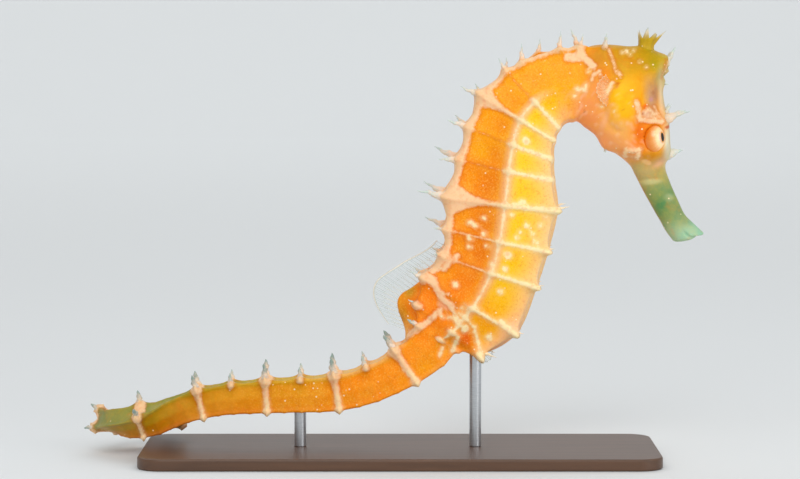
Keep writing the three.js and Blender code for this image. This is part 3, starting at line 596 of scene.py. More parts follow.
def band_width(f, small):
    """Half width in millimetres of the pale band along the nearest ring edge."""
    ring, place, nearest, tail = f["ring"], f["place"], f["nearest"], f["tail"]
    belly_side = smooth(3.8, 4.2, place)
    back = np.select([nearest == 4, nearest == 7, nearest >= 8],
                     [BACK_BAND_4, BACK_BAND_7, BACK_BAND_LOW], BACK_BAND)
    belly = np.select([nearest == 7, nearest >= 3], [BELLY_BAND_7, BELLY_BAND], NECK_BAND)
    belly = belly + BELLY_SWELL * smooth(5.2, 7, place)
    width = back * (1 - belly_side) + belly * belly_side
    for web_ring, (wide, reach) in WEBS.items():
        share = np.clip((reach - place) / (reach - 1.6), 0, 1.15)
        width = np.where(nearest == web_ring, np.maximum(width, 0.25 + wide * share**2.2), width)
    faint = (nearest == 1) & (place > 2.4) | (nearest == 2)
    hidden = (nearest >= 10) & (place < 3.6) | (nearest == 11) & (place < 5.8)
    width = np.where(hidden, HIDDEN_BAND, np.where(faint, FAINT_BAND, width))
    swell = TAIL_SWELL_TOP * smooth(3.2, 1.6, place) ** 2
    swell = swell + TAIL_SWELL_LOW * smooth(5.2, 6.4, place)
    tail_width = np.where(f["strong"] > 0, TAIL_BAND + swell, PLAIN_TAIL_BAND)
    width = width * (1 - tail) + tail_width * tail * small
    return np.where(ring < 0.7, NO_LINE, width)


def ridge_width(f, on_trunk):
    """Half width in millimetres of the pale line along the nearest ridge."""
    ring, ridge = f["ring"], f["ridge"]
    margin = np.interp(ring, *MARGIN)
    margin = np.where(ridge == 2, margin - MARGIN_LOSS * f["tail"], NO_LINE)
    margin = np.where((ring > 9.7) & (ring < 12.6), NO_LINE, margin)
    made = margin
    for at, wide in ((4, SIDE_LINE), (6, LOWER_LINE)):
        line = np.where(ridge == at, wide, NO_LINE) * on_trunk - (1 - on_trunk)
        made = np.maximum(made, line)
    return made - 1.5 * smooth(1.2, 0.4, ring)


def pale_field(f, points, spines):
    """Signed distance in millimetres to the edge of the pale network: below 0 inside it."""
    ring, place = f["ring"], f["place"]
    x, z = points[..., 0], points[..., 2]
    on_trunk = smooth(2.3, 3.1, ring) * (1 - f["tail"])
    small = np.clip(f["thick"] / 3.0, 0.3, 1.0)
    made = f["to_ring"] - band_width(f, small)
    made = np.minimum(made, f["to_ridge"] - ridge_width(f, on_trunk) * small)
    crossing = np.hypot(f["to_ring"], 0.7 * f["to_ridge"]) - CROSSING
    made = np.where((f["ridge"] == 4) & (on_trunk > 0.5), np.minimum(made, crossing), made)
    for x0, z0, x1, z1, wide in STREAKS:
        run = (x - x0) * (x1 - x0) + (z - z0) * (z1 - z0)
        run = np.clip(run / ((x1 - x0) ** 2 + (z1 - z0) ** 2), 0, 1)
        away = np.hypot(x - x0 - run * (x1 - x0), z - z0 - run * (z1 - z0))
        made = np.minimum(made, away - wide)
    for dot_x, dot_z, radius in DOTS:
        made = np.minimum(made, np.hypot(x - dot_x, z - dot_z) - radius)
    for root, _, radius, web, _ in spines:
        disc = np.linalg.norm(points - root, axis=-1) - radius * (0.7 + 0.7 * web)
        made = np.where(ring > BARE_TO, np.minimum(made, disc), made)
    middle = smooth(0.9, 0.4, place) + smooth(7.4, 7.8, place)
    return np.clip(made + 2.0 * middle * (ring < 14), -2, 2)


def relief(f, pale, points, spines):
    """How far the skin stands out from the smooth surface, in millimetres."""
    ring, place, ridge, strong, tail = (
        f[key] for key in ("ring", "place", "ridge", "strong", "tail"))
    small = np.clip(f["thick"] / 5.0, 0.3, 1.0)
    # ring edges, quieter on plain back plates, towards the belly and under the fin's root
    quiet = np.where((place < 4) & (strong < 1), 0.35, 1.0) * (1 - 0.6 * smooth(6, 7.5, place))
    quiet = quiet * (1 - 0.4 * smooth(4.5, 5.5, place) * (strong < 1))
    quiet = np.where((f["nearest"] == 11) & (place < 5.8), 0.15, quiet)
    plain = RING_HIGH * (1 - tail) + TAIL_RING_HIGH * tail
    high = bell(f["to_ring"], 0.42 * small + 0.08) * (plain + STRONG_HIGH * strong) * quiet
    # ridges
    trunk_ridge = np.select([ridge == 0, ridge == 8], [0.0, 0.5], 1.0)
    tail_ridge = np.isin(ridge, (2, 6)).astype(float)
    share = trunk_ridge * (1 - tail) + tail_ridge * tail
    high = high + bell(f["to_ridge"], 0.5 * small + 0.08) * RIDGE_HIGH * share
    # a knob where each ring crosses a ridge
    late = smooth(6.4, 7.4, ring)
    trunk_knob = np.select([place > 7, place > 5], [0.1 + 0.3 * late, 0.2 + 0.5 * late], KNOB_HIGH)
    trunk_knob = trunk_knob * smooth(2.2, 2.9, ring)
    tail_knob = np.where(place > 5, 0.14 + 0.55 * strong, 0.05 + 0.3 * strong) * tail_ridge
    knob = bell(np.hypot(f["to_ring"], f["to_ridge"]), 0.6 * small + 0.1) * (place > 1.5)
    high = high + knob * (trunk_knob * trunk_ridge * (1 - tail) + tail_knob * tail)
    inside = (1 - bell(f["to_ring"], 1.3 * small)) * (1 - bell(f["to_ridge"], 1.6 * small))
    high = high - PLATE_DEEP * inside
    ringed = f["body"] * smooth(LAST_RING, LAST_RING - 2, ring)
    made = high * ringed * (0.35 + 0.65 * small) + PALE_HIGH * smooth(0.15, -0.2, pale)
    foot = np.zeros(pale.shape)
    for root, _, radius, web, _ in spines:
        away = np.linalg.norm(points - root, axis=-1) / (FOOT_REACH + radius + WEB_REACH * web)
        foot = np.maximum(foot, (FOOT_HIGH + WEB_HIGH * web) * np.clip(1 - away, 0, 1) ** 2)
    return made + foot


def head_bumps(f, points):
    """Relief of the head: gill cover, cheek bone, the crown's foot and the mouth's slit."""
    x, y, z = points[..., 0], points[..., 1], points[..., 2]
    head = smooth(0.8, -0.1, f["ring"])
    head = head * smooth(0.4, 1.8, f["place"]) * smooth(8, 6.8, f["place"])
    gill = turned(x, z, *GILL_COVER)
    high = GILL_HIGH * np.exp(-gill**3)
    high = high - GILL_EDGE_DEEP * bell(gill - 1.15, 0.12) * smooth(37.6, 35.8, x)
    high = (high + CHEEK_HIGH * np.exp(-turned(x, z, *CHEEK_BONE) ** 4)) * head
    foot = np.hypot(np.hypot(x - CORONET[0], y), 0.6 * (z - CORONET[1]))
    swell = np.clip(1.25 - foot / 2.8, 0, 1) ** 2 * smooth(62.5, 65, z)
    high = high + CROWN_FOOT_HIGH * swell
    slit = z - (38.2 - 1.1 * np.clip((x - 47.0) / 1.3, 0, 1))
    return high - MOUTH_DEEP * bell(slit, 0.22) * smooth(46.9, 47.4, x) * (f["ring"] < -7.3)


def orbit(points, place):
    """Draws the skin round each eyeball into a raised rim, and sinks it behind the ball."""
    x, y, z = points[..., 0], points[..., 1], points[..., 2]
    away = np.hypot((x - EYE.x) / EYE_HALF[0], (z - EYE.z - EYE_LID) / EYE_HALF[2])
    beside = smooth(0.2, 1.5, place) * (np.abs(y) > 0.05)
    lid = 0.4 * np.maximum(smooth(0, -1.6, z - EYE.z), smooth(0, -1.4, x - EYE.x))
    rim = np.maximum(np.abs(y), EYE.y + EYE_RIM + lid)
    wide = np.abs(y) + (rim - np.abs(y)) * smooth(1.8, 1.0, away) * beside
    wide = wide + (EYE.y - EYE_SUNK - wide) * smooth(0.88, 0.7, away) * beside
    made = points.copy()
    made[..., 1] = np.sign(y) * wide
    return made


def body_roots():
    """Spines that grow in rings: root, tip, radius, web, and how blunt and dark the tip is."""
    made = []

    def grow(ring, place, length, lean, radius, web, blunt=0.0):
        root = base_surface(ring, place)[0, 0]
        back, _, tailward = (way[0] for way in ways(ring))
        outward = unit(root - along(ring, CENTRES)[0])
        if place < 3 or place > 13:
            outward = unit(outward + 0.9 * back)
        angle = math.radians(lean)
        tip = root + length * (math.cos(angle) * outward + math.sin(angle) * tailward)
        made.append((root, tip, radius, web, blunt))

    for spines, place in ((BACK_SPINES_RIGHT, 2), (BACK_SPINES_LEFT, 14)):
        for ring, length, lean in spines:
            web = RING_WEBS.get(ring, TRUNK_WEB if ring > 3 else NECK_WEB)
            radius = (BACK_ROOT if ring > 3.5 else NECK_ROOT) + BACK_ROOT_GAIN * length
            grow(ring, place, length, lean, radius, web)
    for ring in range(7, 12):
        share = STRONG_SHARE if ring in STRONG_RINGS else 1.0
        for place in (6, 10):
            grow(ring, place, BELLY_SPINE * share, BELLY_LEAN, BELLY_ROOT, BELLY_WEB)
    for ring in range(12, LAST_RING - 5):
        strong = ring in STRONG_RINGS
        if not strong and (ring % 2 or ring > LAST_PLAIN_SPINE):
            continue
        wane = 1 - TAIL_WANE * float(smooth(18, LAST_RING, ring))
        length = TAIL_SPINE * (STRONG_SHARE if strong else 1.0) * wane
        web, blunt = (STRONG_TAIL_WEB, BLUNT_STRONG) if strong else (PLAIN_TAIL_WEB, BLUNT_PLAIN)
        for place in (2, 14):
            grow(ring, place, length, 0, TAIL_ROOT + TAIL_ROOT_GAIN * length, web, blunt)
    return made


def head_roots():
    """The head's single spines in the same terms, in pairs where they stand to the side."""
    made = []
    for root_x, root_z, root_y, tip_x, tip_z, tip_y, radius in HEAD_SPINES:
        for side in ((1,) if tip_y == 0 else (-1, 1)):
            root = np.array((root_x, 0 if tip_y == 0 else side * root_y, root_z))
            made.append((root, np.array((tip_x, side * tip_y, tip_z)), radius, HEAD_WEB, 0.0))
    return made


# ---------------------------------------------------------------- small tools for modelling


def deselect():
    """Leaves edit mode and deselects all, so that an operator acts on its own piece only."""
    if bpy.context.object and bpy.context.object.mode != "OBJECT":
        bpy.ops.object.mode_set(mode="OBJECT")
    bpy.ops.object.select_all(action="DESELECT")


def named(name):
    """The piece just added, with its place and size put into its mesh, under a name."""
    bpy.ops.object.transform_apply(location=True, rotation=True, scale=True)
    made = bpy.context.object
    made.name = name
    made.data.name = name
    return made


def soften(piece, width):
    """Rounds a piece's sharp edges by some millimetres and shades it smooth between them."""
    sharp = math.radians(40)
    rounding = piece.modifiers.new("rounding", "BEVEL")
    rounding.width = width * MM
    rounding.segments = 3
    rounding.angle_limit = sharp
    rounding.harden_normals = True
    bpy.ops.object.shade_smooth_by_angle(angle=sharp)
    bpy.ops.object.modifier_apply(modifier=rounding.name)


def tube_faces(rows, sides):
    """Faces between rows of points that each go once round."""
    return [(k + a, k + (a + 1) % sides, k + sides + (a + 1) % sides, k + sides + a)
            for k in range(0, (rows - 1) * sides, sides) for a in range(sides)]


def mesh_object(name, points, faces, fields=None, colours=None):
    """A smooth-shaded mesh from points in millimetres, with fields and colours as attributes."""
    mesh = bpy.data.meshes.new(name)
    mesh.from_pydata((np.asarray(points) * MM).tolist(), [], faces)
    mesh.validate()
    for key, values in (fields or {}).items():
        layer = mesh.attributes.new(key, "FLOAT", "POINT")
        layer.data.foreach_set("value", np.asarray(values, np.float32).ravel())
    if colours is not None:
        opaque = np.hstack([colours, np.ones((len(colours), 1))])
        layer = mesh.attributes.new("paint", "FLOAT_COLOR", "POINT")
        layer.data.foreach_set("color", opaque.astype(np.float32).ravel())
    mesh.polygons.foreach_set("use_smooth", [True] * len(mesh.polygons))
    made = bpy.data.objects.new(name, mesh)
    bpy.context.scene.collection.objects.link(made)
    return made


def add_node(tree, kind, inputs=None, output=0, **properties):
    """Adds a node and returns one of its outputs.

    An input is given a value or the socket that feeds it. Where sockets share a name they go by
    number: a map range takes its value at 0, the range it reads at 1 and 2 and the one it gives at
    3 and 4 (0 to 1 if not said); a mix takes its share at 0 and its colours at 6 and 7, and gives
    its colour at 2.
    """
    made = tree.nodes.new("ShaderNode" + kind)
    for key, value in properties.items():
        setattr(made, key, value)
    for key, value in (inputs or {}).items():
        if isinstance(value, bpy.types.NodeSocket):
            tree.links.new(value, made.inputs[key])
        else:
            made.inputs[key].default_value = value
    return made.outputs[output]


def new_material(name, **finish):
    """A material with its shader's fixed values; ways to add nodes and links; the shader's
    inputs; and the object's coordinates."""
    made = bpy.data.materials.new(name)
    made.use_nodes = True
    shader = made.node_tree.nodes["Principled BSDF"].inputs
    for key, value in finish.items():
        shader[key.replace("_", " ")].default_value = value
    coords = add_node(made.node_tree, "TexCoord", output="Object")
    return made, partial(add_node, made.node_tree), made.node_tree.links.new, shader, coords


def dress(piece, material, slot, *nodes):
    """Gives a finished piece its material and its body, and hides the CAD nodes it stands for;
    slot is not used.
    """
    piece.data.materials.clear()
    piece.data.materials.append(material)
    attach(piece, "root")
    if nodes:
        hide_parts(*nodes)


# ---------------------------------------------------------------- settings


class SeahorseSettings(bpy.types.PropertyGroup):
    """Colours, rays and light that a user would change"""

    ridge_colour: FloatVectorProperty(
        name="Back ridges", description="Colour of the back's ridges and webs", subtype="COLOR",
        size=4, default=linear("#FBCFA0"))
    cream_colour: FloatVectorProperty(
        name="Belly ridges", description="Colour of the belly's ridges and rings",
        subtype="COLOR", size=4, default=linear("#FFE8B4"))
    spine_colour: FloatVectorProperty(
        name="Spine tips", description="Colour of the glassy spine tips", subtype="COLOR", size=4,
        default=linear("#C6D4CC"))
    wood_colour: FloatVectorProperty(
        name="Base", description="Colour of the wood's lighter grain", subtype="COLOR", size=4,
        default=linear("#6B4A33"))
    floor_colour: FloatVectorProperty(
        name="Floor", description="Colour of the floor and the wall behind", subtype="COLOR",
        size=4, default=linear("#E2E5E6"))
    fin_rays: IntProperty(name="Fin rays", description="Rays of the dorsal fin", default=22, min=8)
    light_power: FloatProperty(name="Key light", description="Power of the soft key light",
                               default=2.4, min=0, unit="POWER")


def settings():
    """The scene's seahorse settings."""
    return bpy.context.scene.seahorse


# ---------------------------------------------------------------- skin


def wobble(seed, value):
    """A repeatable uneven value between -1 and 1."""
    return math.sin(12.9 * seed + 7.3 * value) * math.cos(5.1 * seed - 3.7 * value + 1.1)


def spine_mesh(root, tip, radius, blunt, seed, sides=10, steps=10):
    """A tapering spine with a flared root and an uneven shaft, and how far along each point is."""
    axis = tip - root
    length = np.linalg.norm(axis)
    axis = axis / length
    helper = np.array((0, 1.0, 0)) if abs(axis[1]) < 0.8 else np.array((1.0, 0, 0))
    u = unit(np.cross(axis, helper))
    v = np.cross(axis, u)
    points, run = [], []
    for k, s in enumerate([-0.9 * radius / length, *np.linspace(0.02, 0.985, steps)]):
        t = max(s, 0)
        taper = 0.4 * (1 - t) ** 3 + 0.6 * (1 - t ** (1.1 + 3 * blunt)) ** 0.85
        wide = max(radius * taper * (1 + 0.16 * wobble(seed, 6 * t)), 0.05)
        wide *= 0.8 if s < 0 else 1
        shift = 0.05 * length * math.sin(math.pi * t) * wobble(seed, 1.7 * t)
        for m, a in enumerate(np.linspace(0, 2 * math.pi, sides, endpoint=False)):
            rough = wide * (1 + 0.12 * wobble(seed + m, k) * (t > 0.1))
            round_axis = math.cos(a) * u + math.sin(a) * v
            points.append(root + axis * s * length + shift * u + rough * round_axis)
            run.append(t)
    last = steps * sides
    faces = tube_faces(steps + 1, sides)
    faces += [(last + a, last + (a + 1) % sides, last + sides) for a in range(sides)]
    faces.append(tuple(reversed(range(sides))))
    return np.array([*points, tip]), faces, np.array([*run, 1.0])


def coronet_mesh(sides=60):
    """The crown: a waisted stalk that opens into a cup with uneven tines, and how near the tips
    each point is."""
    angles = np.arange(sides) * 2 * math.pi / sides
    height, out = np.zeros(sides), np.zeros(sides)
    for at, tine_height, tine_out, wide in TINES:
        turn = np.abs((angles - math.radians(at) + math.pi) % (2 * math.pi) - math.pi)
        share = np.clip(1 - turn / wide, 0, 1) ** 1.3
        height = np.maximum(height, tine_height * share)
        out = np.maximum(out, tine_out * share)
    points, run = [], []
    x, z, stalk, waist, rim = CORONET
    # each row's share up the outer wall, then its share from the rim to the cup's middle
    rows = [(s, 0) for s in np.linspace(-0.7, 1, 14)]
    rows += [(1, s) for s in (0.08, 0.2, 0.4, 0.7, 1.0)]
    for wall, cup in rows:
        opened = max(0, wall - 0.45) / 0.55
        foot = min(0.75, 1.5 * max(0, 0.5 - wall) ** 1.6)
        flare = foot + max(0, wall - 0.5) ** 2 * 4 * (rim / waist - 1)
        for k, angle in enumerate(angles):
            radius = waist * (1 + flare) + out[k] * opened
            radius *= (1 + 0.05 * math.sin(6 * angle + 5 * wall)) * (1 - cup)
            lift = stalk * wall + height[k] * opened
            lift -= (height[k] + 0.55) * (1 - (1 - cup) ** 2)
            points.append((x + 0.22 * lift + radius * math.cos(angle), radius * math.sin(angle),
                           z + lift))
            run.append(np.clip((lift - stalk * 0.8) / 2.2, 0, 1))
    faces = tube_faces(len(rows), sides) + [tuple(reversed(range(sides)))]
    points = np.array(points)
    points[-sides:] = points[-sides:].mean(0)
    return points, faces, np.array(run)


def make_skin():
    """The skin's loops with relief and colours, then each spine and the crown, in one mesh."""
    rings = skin_rings()
    places = np.arange(AROUND) * 16 / AROUND
    bare = blunted(rings, base_surface(rings, places))
    f = body_fields(rings, places, bare)
    ring, place = f["ring"], f["place"]
    grown, single = body_roots(), head_roots()
    spines = grown + single
    pale = pale_field(f, bare, spines)
    high = relief(f, pale, bare, spines) + head_bumps(f, bare)
    points = orbit(bare + grid_normals(bare) * high[..., None], place)
    grid = points.reshape(-1, 3)
    start, end, tail = len(grid), len(grid) + 1, (len(rings) - 1) * AROUND
    faces = [(a, d, c, b) for a, b, c, d in tube_faces(len(rings), AROUND)]
    faces += [(start, m, (m + 1) % AROUND) for m in range(AROUND)]
    faces += [(end, tail + (m + 1) % AROUND, tail + m) for m in range(AROUND)]

    def with_poles(values):
        flat = values.reshape(len(grid), -1)
        return np.vstack([flat, flat[:1], flat[-1:]])

    inside = (1 - bell(f["to_ring"], 1.5)) * (1 - bell(f["to_ridge"], 1.6)) * (place < 6.2)
    colour = with_poles(paint(bare, ring, place, inside))
    # pink is 1 where the network is the back's peach and 0 where it is cream, as dots are
    pink = smooth(4.4, 3.2, place) + 0.6 * smooth(1.2, 0.2, ring)
    to_dot = np.min([np.hypot(bare[..., 0] - x, bare[..., 2] - z) - r for x, z, r in DOTS], 0)
    pink = np.clip(pink + f["tail"] * 0.5, 0, 1) * smooth(0.1, 0.5, to_dot)
    grain = smooth(0.3, 1.6, ring) * smooth(27, 19, ring)
    pale, pink, grain = (with_poles(values)[:, 0] for values in (pale, pink, grain))
    none = np.zeros(len(grid) + 2)
    skin = np.vstack([grid, points[0].mean(0), points[-1].mean(0)])
    pieces = [(skin, colour, pale, pink, none, none, grain)]
    total = len(skin)
    for seed, (root, point, radius, _, blunt) in enumerate(spines):
        made, spine_faces, run = spine_mesh(root, point, radius, blunt, seed)
        nearest = int(np.argmin(((grid - root) ** 2).sum(1)))
        full = np.ones(len(run))
        if seed >= len(grown):
            tip = 0.1 + (0.5 if abs(root[1]) > 2.5 else 0.9) * run
        else:
            tip = (0.45 if place.ravel()[nearest] > 5 else 1.0) * run
        edge = full * (2 if ring.ravel()[nearest] < BARE_TO else -1)
        pieces.append((made, np.repeat(colour[nearest][None], len(run), 0), edge,
                       full * pink[nearest], tip, full * blunt, full * 0))
        faces += [tuple(total + i for i in face) for face in spine_faces]
        total += len(made)
    crown, crown_faces, run = coronet_mesh()
    full = np.ones(len(crown))
    crown_colour = blend(paint(crown, full * -0.9, full * 2), "#A49A1C", 0.45 + 0.5 * run)
    pieces.append((crown, crown_colour, full * 2, full * 0, run**2 * 0.85, full * 0, full * 0))
    faces += [tuple(total + i for i in face) for face in crown_faces]
    points, colour, *fields = (np.concatenate(group) for group in zip(*pieces))
    fields = dict(zip(("pale", "pink", "tip", "blunt", "grain"), fields))
    return mesh_object("seahorse_skin", points, faces, fields, colour)


def per(size):
    """A texture's scale for features of this many millimetres."""
    return 1 / (size * MM)


# The skin's mottling, coarsest first: size in millimetres, detail and roughness of the pattern;
# where in its values a layer starts and is full; its strength, sRGB code and blending; and
# whether it keeps to the plates.
MOTTLES = (
    (3.2, 3.0, 0.55, 0.45, 0.75, 0.2, "#FFC648", "MIX", False),  # clouds of yellower skin
    (2.1, 3.0, 0.55, 0.56, 0.75, 0.22, "#EE6E10", "MIX", False),  # clouds of redder skin
    (0.55, 4.0, 0.55, 0.5, 0.72, 0.28, "#FFD890", "SOFT_LIGHT", False),
    (0.26, 2.0, 0.55, 0.52, 0.64, 0.32, "#FFC85C", "MIX", True),  # golden grains
    (0.4, 3.0, 0.7, 0.47, 0.34, 0.3, "#D86408", "MIX", True),  # darker pits between them
)


def skin_material():
    """Living skin over bony plates: moist, satin, a little light passes through."""
    material, add, link, shader, coords = new_material(
        "seahorse skin, moist satin", Roughness=0.42, Subsurface_Weight=0.18,
        Subsurface_Radius=(1.0, 0.6, 0.3), Subsurface_Scale=0.8 * MM, Specular_IOR_Level=0.16)
    colour = add("Attribute", output="Color", attribute_name="paint")
    pale, pink, tip, blunt, plates = (add("Attribute", output="Fac", attribute_name=name)
                                      for name in ("pale", "pink", "tip", "blunt", "grain"))
    noises = {}
    for size, detail, roughness in [(0.7, 4.0, 0.65), (0.8, 3.0, 0.55), (0.5, 3.0, 0.55),
                                    *(mottle[:3] for mottle in MOTTLES)]:
        noises[size] = add("TexNoise", {"Vector": coords, "Scale": per(size), "Detail": detail,
                                        "Roughness": roughness})
    for size, _, _, low, high, strength, code, blending, on_plates in MOTTLES:
        share = add("MapRange", {0: noises[size], 1: low, 2: high, 4: strength})
        if on_plates:
            share = add("Math", {0: plates, 1: share}, operation="MULTIPLY")
        colour = add("Mix", {0: share, 6: colour, 7: linear(code)}, 2, data_type="RGBA",
                     blend_type=blending)
    # sparse pale specks, each a fraction of a millimetre, in cells of 1.1 mm
    cell = add("TexVoronoi", {"Vector": coords, "Scale": per(1.1)}).node.outputs
    speck = add("Math", {0: add("MapRange", {0: cell["Distance"], 1: 0.17, 2: 0.1}),
                         1: add("MapRange", {0: cell["Color"], 1: 0.62, 2: 0.7, 4: 0.85})},
                operation="MULTIPLY")
    # the pale network, its edge frayed, with a rusty line and a soft halo outside it
    fray = add("MapRange", {0: noises[0.7], 3: -0.42, 4: 0.42})
    edge = add("Math", {0: pale, 1: fray}, operation="ADD")
    rust, halo = (
        add("Math", {0: add("MapRange", {0: edge, 1: start, 2: full, 4: strength}),
                     1: add("MapRange", {0: pink, 1: without, 2: within})}, operation="MULTIPLY")
        for start, full, strength, without, within in ((0.62, 0.26, 0.34, 0.4, 0.9),
                                                       (0.6, 0.0, 0.28, 1.0, 0.2)))
    network = add("Math", {0: add("MapRange", {0: edge, 1: 0.2, 2: -0.16, 4: 0.92}), 1: halo},
                  operation="MAXIMUM")
    s = settings()
    tone = add("Mix", {0: pink, 6: tuple(s.cream_colour), 7: tuple(s.ridge_colour)}, 2,
               data_type="RGBA")
    blush = add("MapRange", {0: noises[0.8], 1: 0.5, 2: 0.7, 4: 0.5})
    tone = add("Mix", {0: blush, 6: tone, 7: linear("#F4A878")}, 2, data_type="RGBA")
    # spines clear towards a glassy grey-green tip, slate on the blunt ones
    milky = add("MapRange", {0: tip, 1: 0.02, 2: 0.35, 4: 0.65})
    uneven = add("MapRange", {0: noises[0.5], 1: 0.3, 2: 0.7, 3: -0.18, 4: 0.18})
    uneven = add("Math", {0: tip, 1: uneven}, operation="ADD")
    clear = add("MapRange", {0: uneven, 1: 0.3, 2: 0.85})
    glass = add("Mix", {0: blunt, 6: tuple(s.spine_colour), 7: linear("#8FA29A")}, 2,
                data_type="RGBA")
    for share, over in ((speck, linear("#FFE9BC")), (rust, linear("#CC5C0C")), (network, tone),
                        (milky, linear("#F6E6D6")), (clear, glass)):
        colour = add("Mix", {0: share, 6: colour, 7: over}, 2, data_type="RGBA")
    link(colour, shader["Base Color"])
    # pores, drawn at 0.35 mm so that they show
    pores = add("TexNoise", {"Vector": coords, "Scale": per(0.35), "Detail": 4.0,
                             "Roughness": 0.6})
    bump = add("Bump", {"Height": pores, "Strength": 0.45, "Distance": 0.12 * MM})
    link(bump, shader["Normal"])
    return material


class SEAHORSE_OT_skin(bpy.types.Operator):
    """One skin over snout, head, coronet, neck, trunk and tail, with all their spines"""

    bl_idname = "seahorse.skin"
    bl_label = "Skin"

    def execute(self, context):
        deselect()
        skin = make_skin()
        flesh = [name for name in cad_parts
                 if name.startswith(("snout", "head", "coronet", "neck", "trunk", "tail"))]
        dress(skin, skin_material(), "skin", *flesh)
        return {"FINISHED"}


# ---------------------------------------------------------------- eyes


# The iris with a painted highlight: share of the way from the pupil's middle to IRIS_REACH, in
# radians round the ball, and sRGB code. The two ends come first.
# Its cream stops paint a highlight of the soft light across the ball's middle as seen; its outer
# orange ones match the socket and are painted lighter to lift the shade at the ball's edge.
IRIS_AND_HIGHLIGHT = ((0.0, "#D9B0A0"), (1.0, "#E87C10"), (0.24, "#E4B8A0"), (0.31, "#FFDCA8"),
        (0.42, "#FFDCA0"), (0.49, "#FABC7C"), (0.60, "#F09C48"), (0.76, "#EC8618"))
IRIS_REACH, SPOKES, SPOKE_LENGTH = 1.9, 9.0, 0.22
GAZE = (0.70, 0.66, 0.2)  # ahead, to the side and up
PUPIL_NARROW = 1.5  # how much higher the pupil is than wide
PUPIL, PUPIL_RING = (0.31, 0.28), (0.40, 0.35)  # where each starts and is full, as upright ovals


def eye_material(side):
    """A wet eye: black upright pupil, thin gold ring, a cream band painted as the soft light's
    highlight, with fine spokes, then orange.
    """
    material, add, link, shader, coords = new_material(
        "eye, wet cream iris " + ("right" if side < 0 else "left"), Roughness=0.22,
        Specular_IOR_Level=0.5, Coat_Weight=0.5, Coat_Roughness=0.12)
    centre = Vector((EYE.x, side * EYE.y, EYE.z)) * MM
    gaze = Vector((GAZE[0], side * GAZE[1], GAZE[2])).normalized()
    across = Vector((0, 0, 1)).cross(gaze).normalized()
    from_centre = add("VectorMath", {0: coords, 1: centre}, operation="SUBTRACT")
    even = add("VectorMath", {0: from_centre, 1: Vector(EYE_HALF) * MM}, operation="DIVIDE")
    u, v, front = (add("VectorMath", {0: even, 1: axis}, "Value", operation="DOT_PRODUCT")
                   for axis in (across, gaze.cross(across), gaze))
    spoke = add("Math", {0: u, 1: v}, operation="ARCTAN2")
    uneven = add("TexNoise", {"W": spoke, "Scale": SPOKES, "Detail": 3.0}, noise_dimensions="1D")
    away = add("Math", {0: front}, operation="ARCCOSINE")
    spokes = add("Math", {0: uneven, 1: SPOKE_LENGTH}, operation="MULTIPLY")
    away = add("Math", {0: away, 1: spokes}, operation="ADD")
    # the ramp gives the iris, and in its cream stops a painted highlight of the soft light
    iris_and_highlight = add("ValToRGB", {"Fac": add("Math", {0: away, 1: IRIS_REACH}, operation="DIVIDE")})
    elements = iris_and_highlight.node.color_ramp.elements
    for k, (at, code) in enumerate(IRIS_AND_HIGHLIGHT):
        element = elements[k] if k < 2 else elements.new(at)
        element.position = at
        element.color = linear(code)
    narrow = add("Math", {0: u, 1: PUPIL_NARROW}, operation="MULTIPLY")
    squares = [add("Math", {0: value, 1: 2.0}, operation="POWER") for value in (narrow, v)]
    slit = add("Math", {0: squares[0], 1: squares[1]}, operation="ADD")
    slit = add("Math", {0: slit}, operation="SQRT")
    # the ball's far half has no pupil
    behind = add("Math", {0: front, 1: 0.0}, operation="LESS_THAN")
    behind = add("Math", {0: behind, 1: 3.0}, operation="MULTIPLY")
    slit = add("Math", {0: slit, 1: behind}, operation="ADD")
    colour = iris_and_highlight
    for (low, high), code in ((PUPIL_RING, "#F0A648"), (PUPIL, "#0A0808")):
        share = add("MapRange", {0: slit, 1: low, 2: high})
        colour = add("Mix", {0: share, 6: colour, 7: linear(code)}, 2, data_type="RGBA")
    link(colour, shader["Base Color"])
    return material


class SEAHORSE_OT_eyes(bpy.types.Operator):
    """Both eyeballs, each in its socket"""

    bl_idname = "seahorse.eyes"
    bl_label = "Eyes"

    def execute(self, context):
        for name, side in (("eye_right", -1), ("eye_left", 1)):
            deselect()
            centre = Vector((EYE.x, side * EYE.y, EYE.z)) * MM
            bpy.ops.mesh.primitive_uv_sphere_add(segments=64, ring_count=32, radius=MM,
                                                 location=centre, scale=EYE_HALF)
            eye = named(name + "_ball")
            bpy.ops.object.shade_smooth()
            dress(eye, eye_material(side), "eye", name)
        return {"FINISHED"}


# ---------------------------------------------------------------- fins


def fin_material(name, clear, ray_code, membrane):
    """A wet membrane one can see through, on pale rays, with a pale thread along its margin."""
    material, add, link, shader, coords = new_material(name, Roughness=0.3)
    ray = add("Attribute", output="Fac", attribute_name="ray")
    colour = add("Mix", {0: ray, 6: linear(clear), 7: linear(ray_code)}, 2, data_type="RGBA")
    streaks = add("TexNoise", {"Vector": coords, "Scale": per(0.6), "Detail": 3.0})
    uneven = add("MapRange", {0: streaks, 1: 0.3, 2: 0.7, 3: 0.75, 4: 1.0})
    held = add("MapRange", {0: ray, 3: membrane, 4: 0.95})
    link(colour, shader["Base Color"])
    link(add("Math", {0: held, 1: uneven}, operation="MULTIPLY"), shader["Alpha"])
    return material


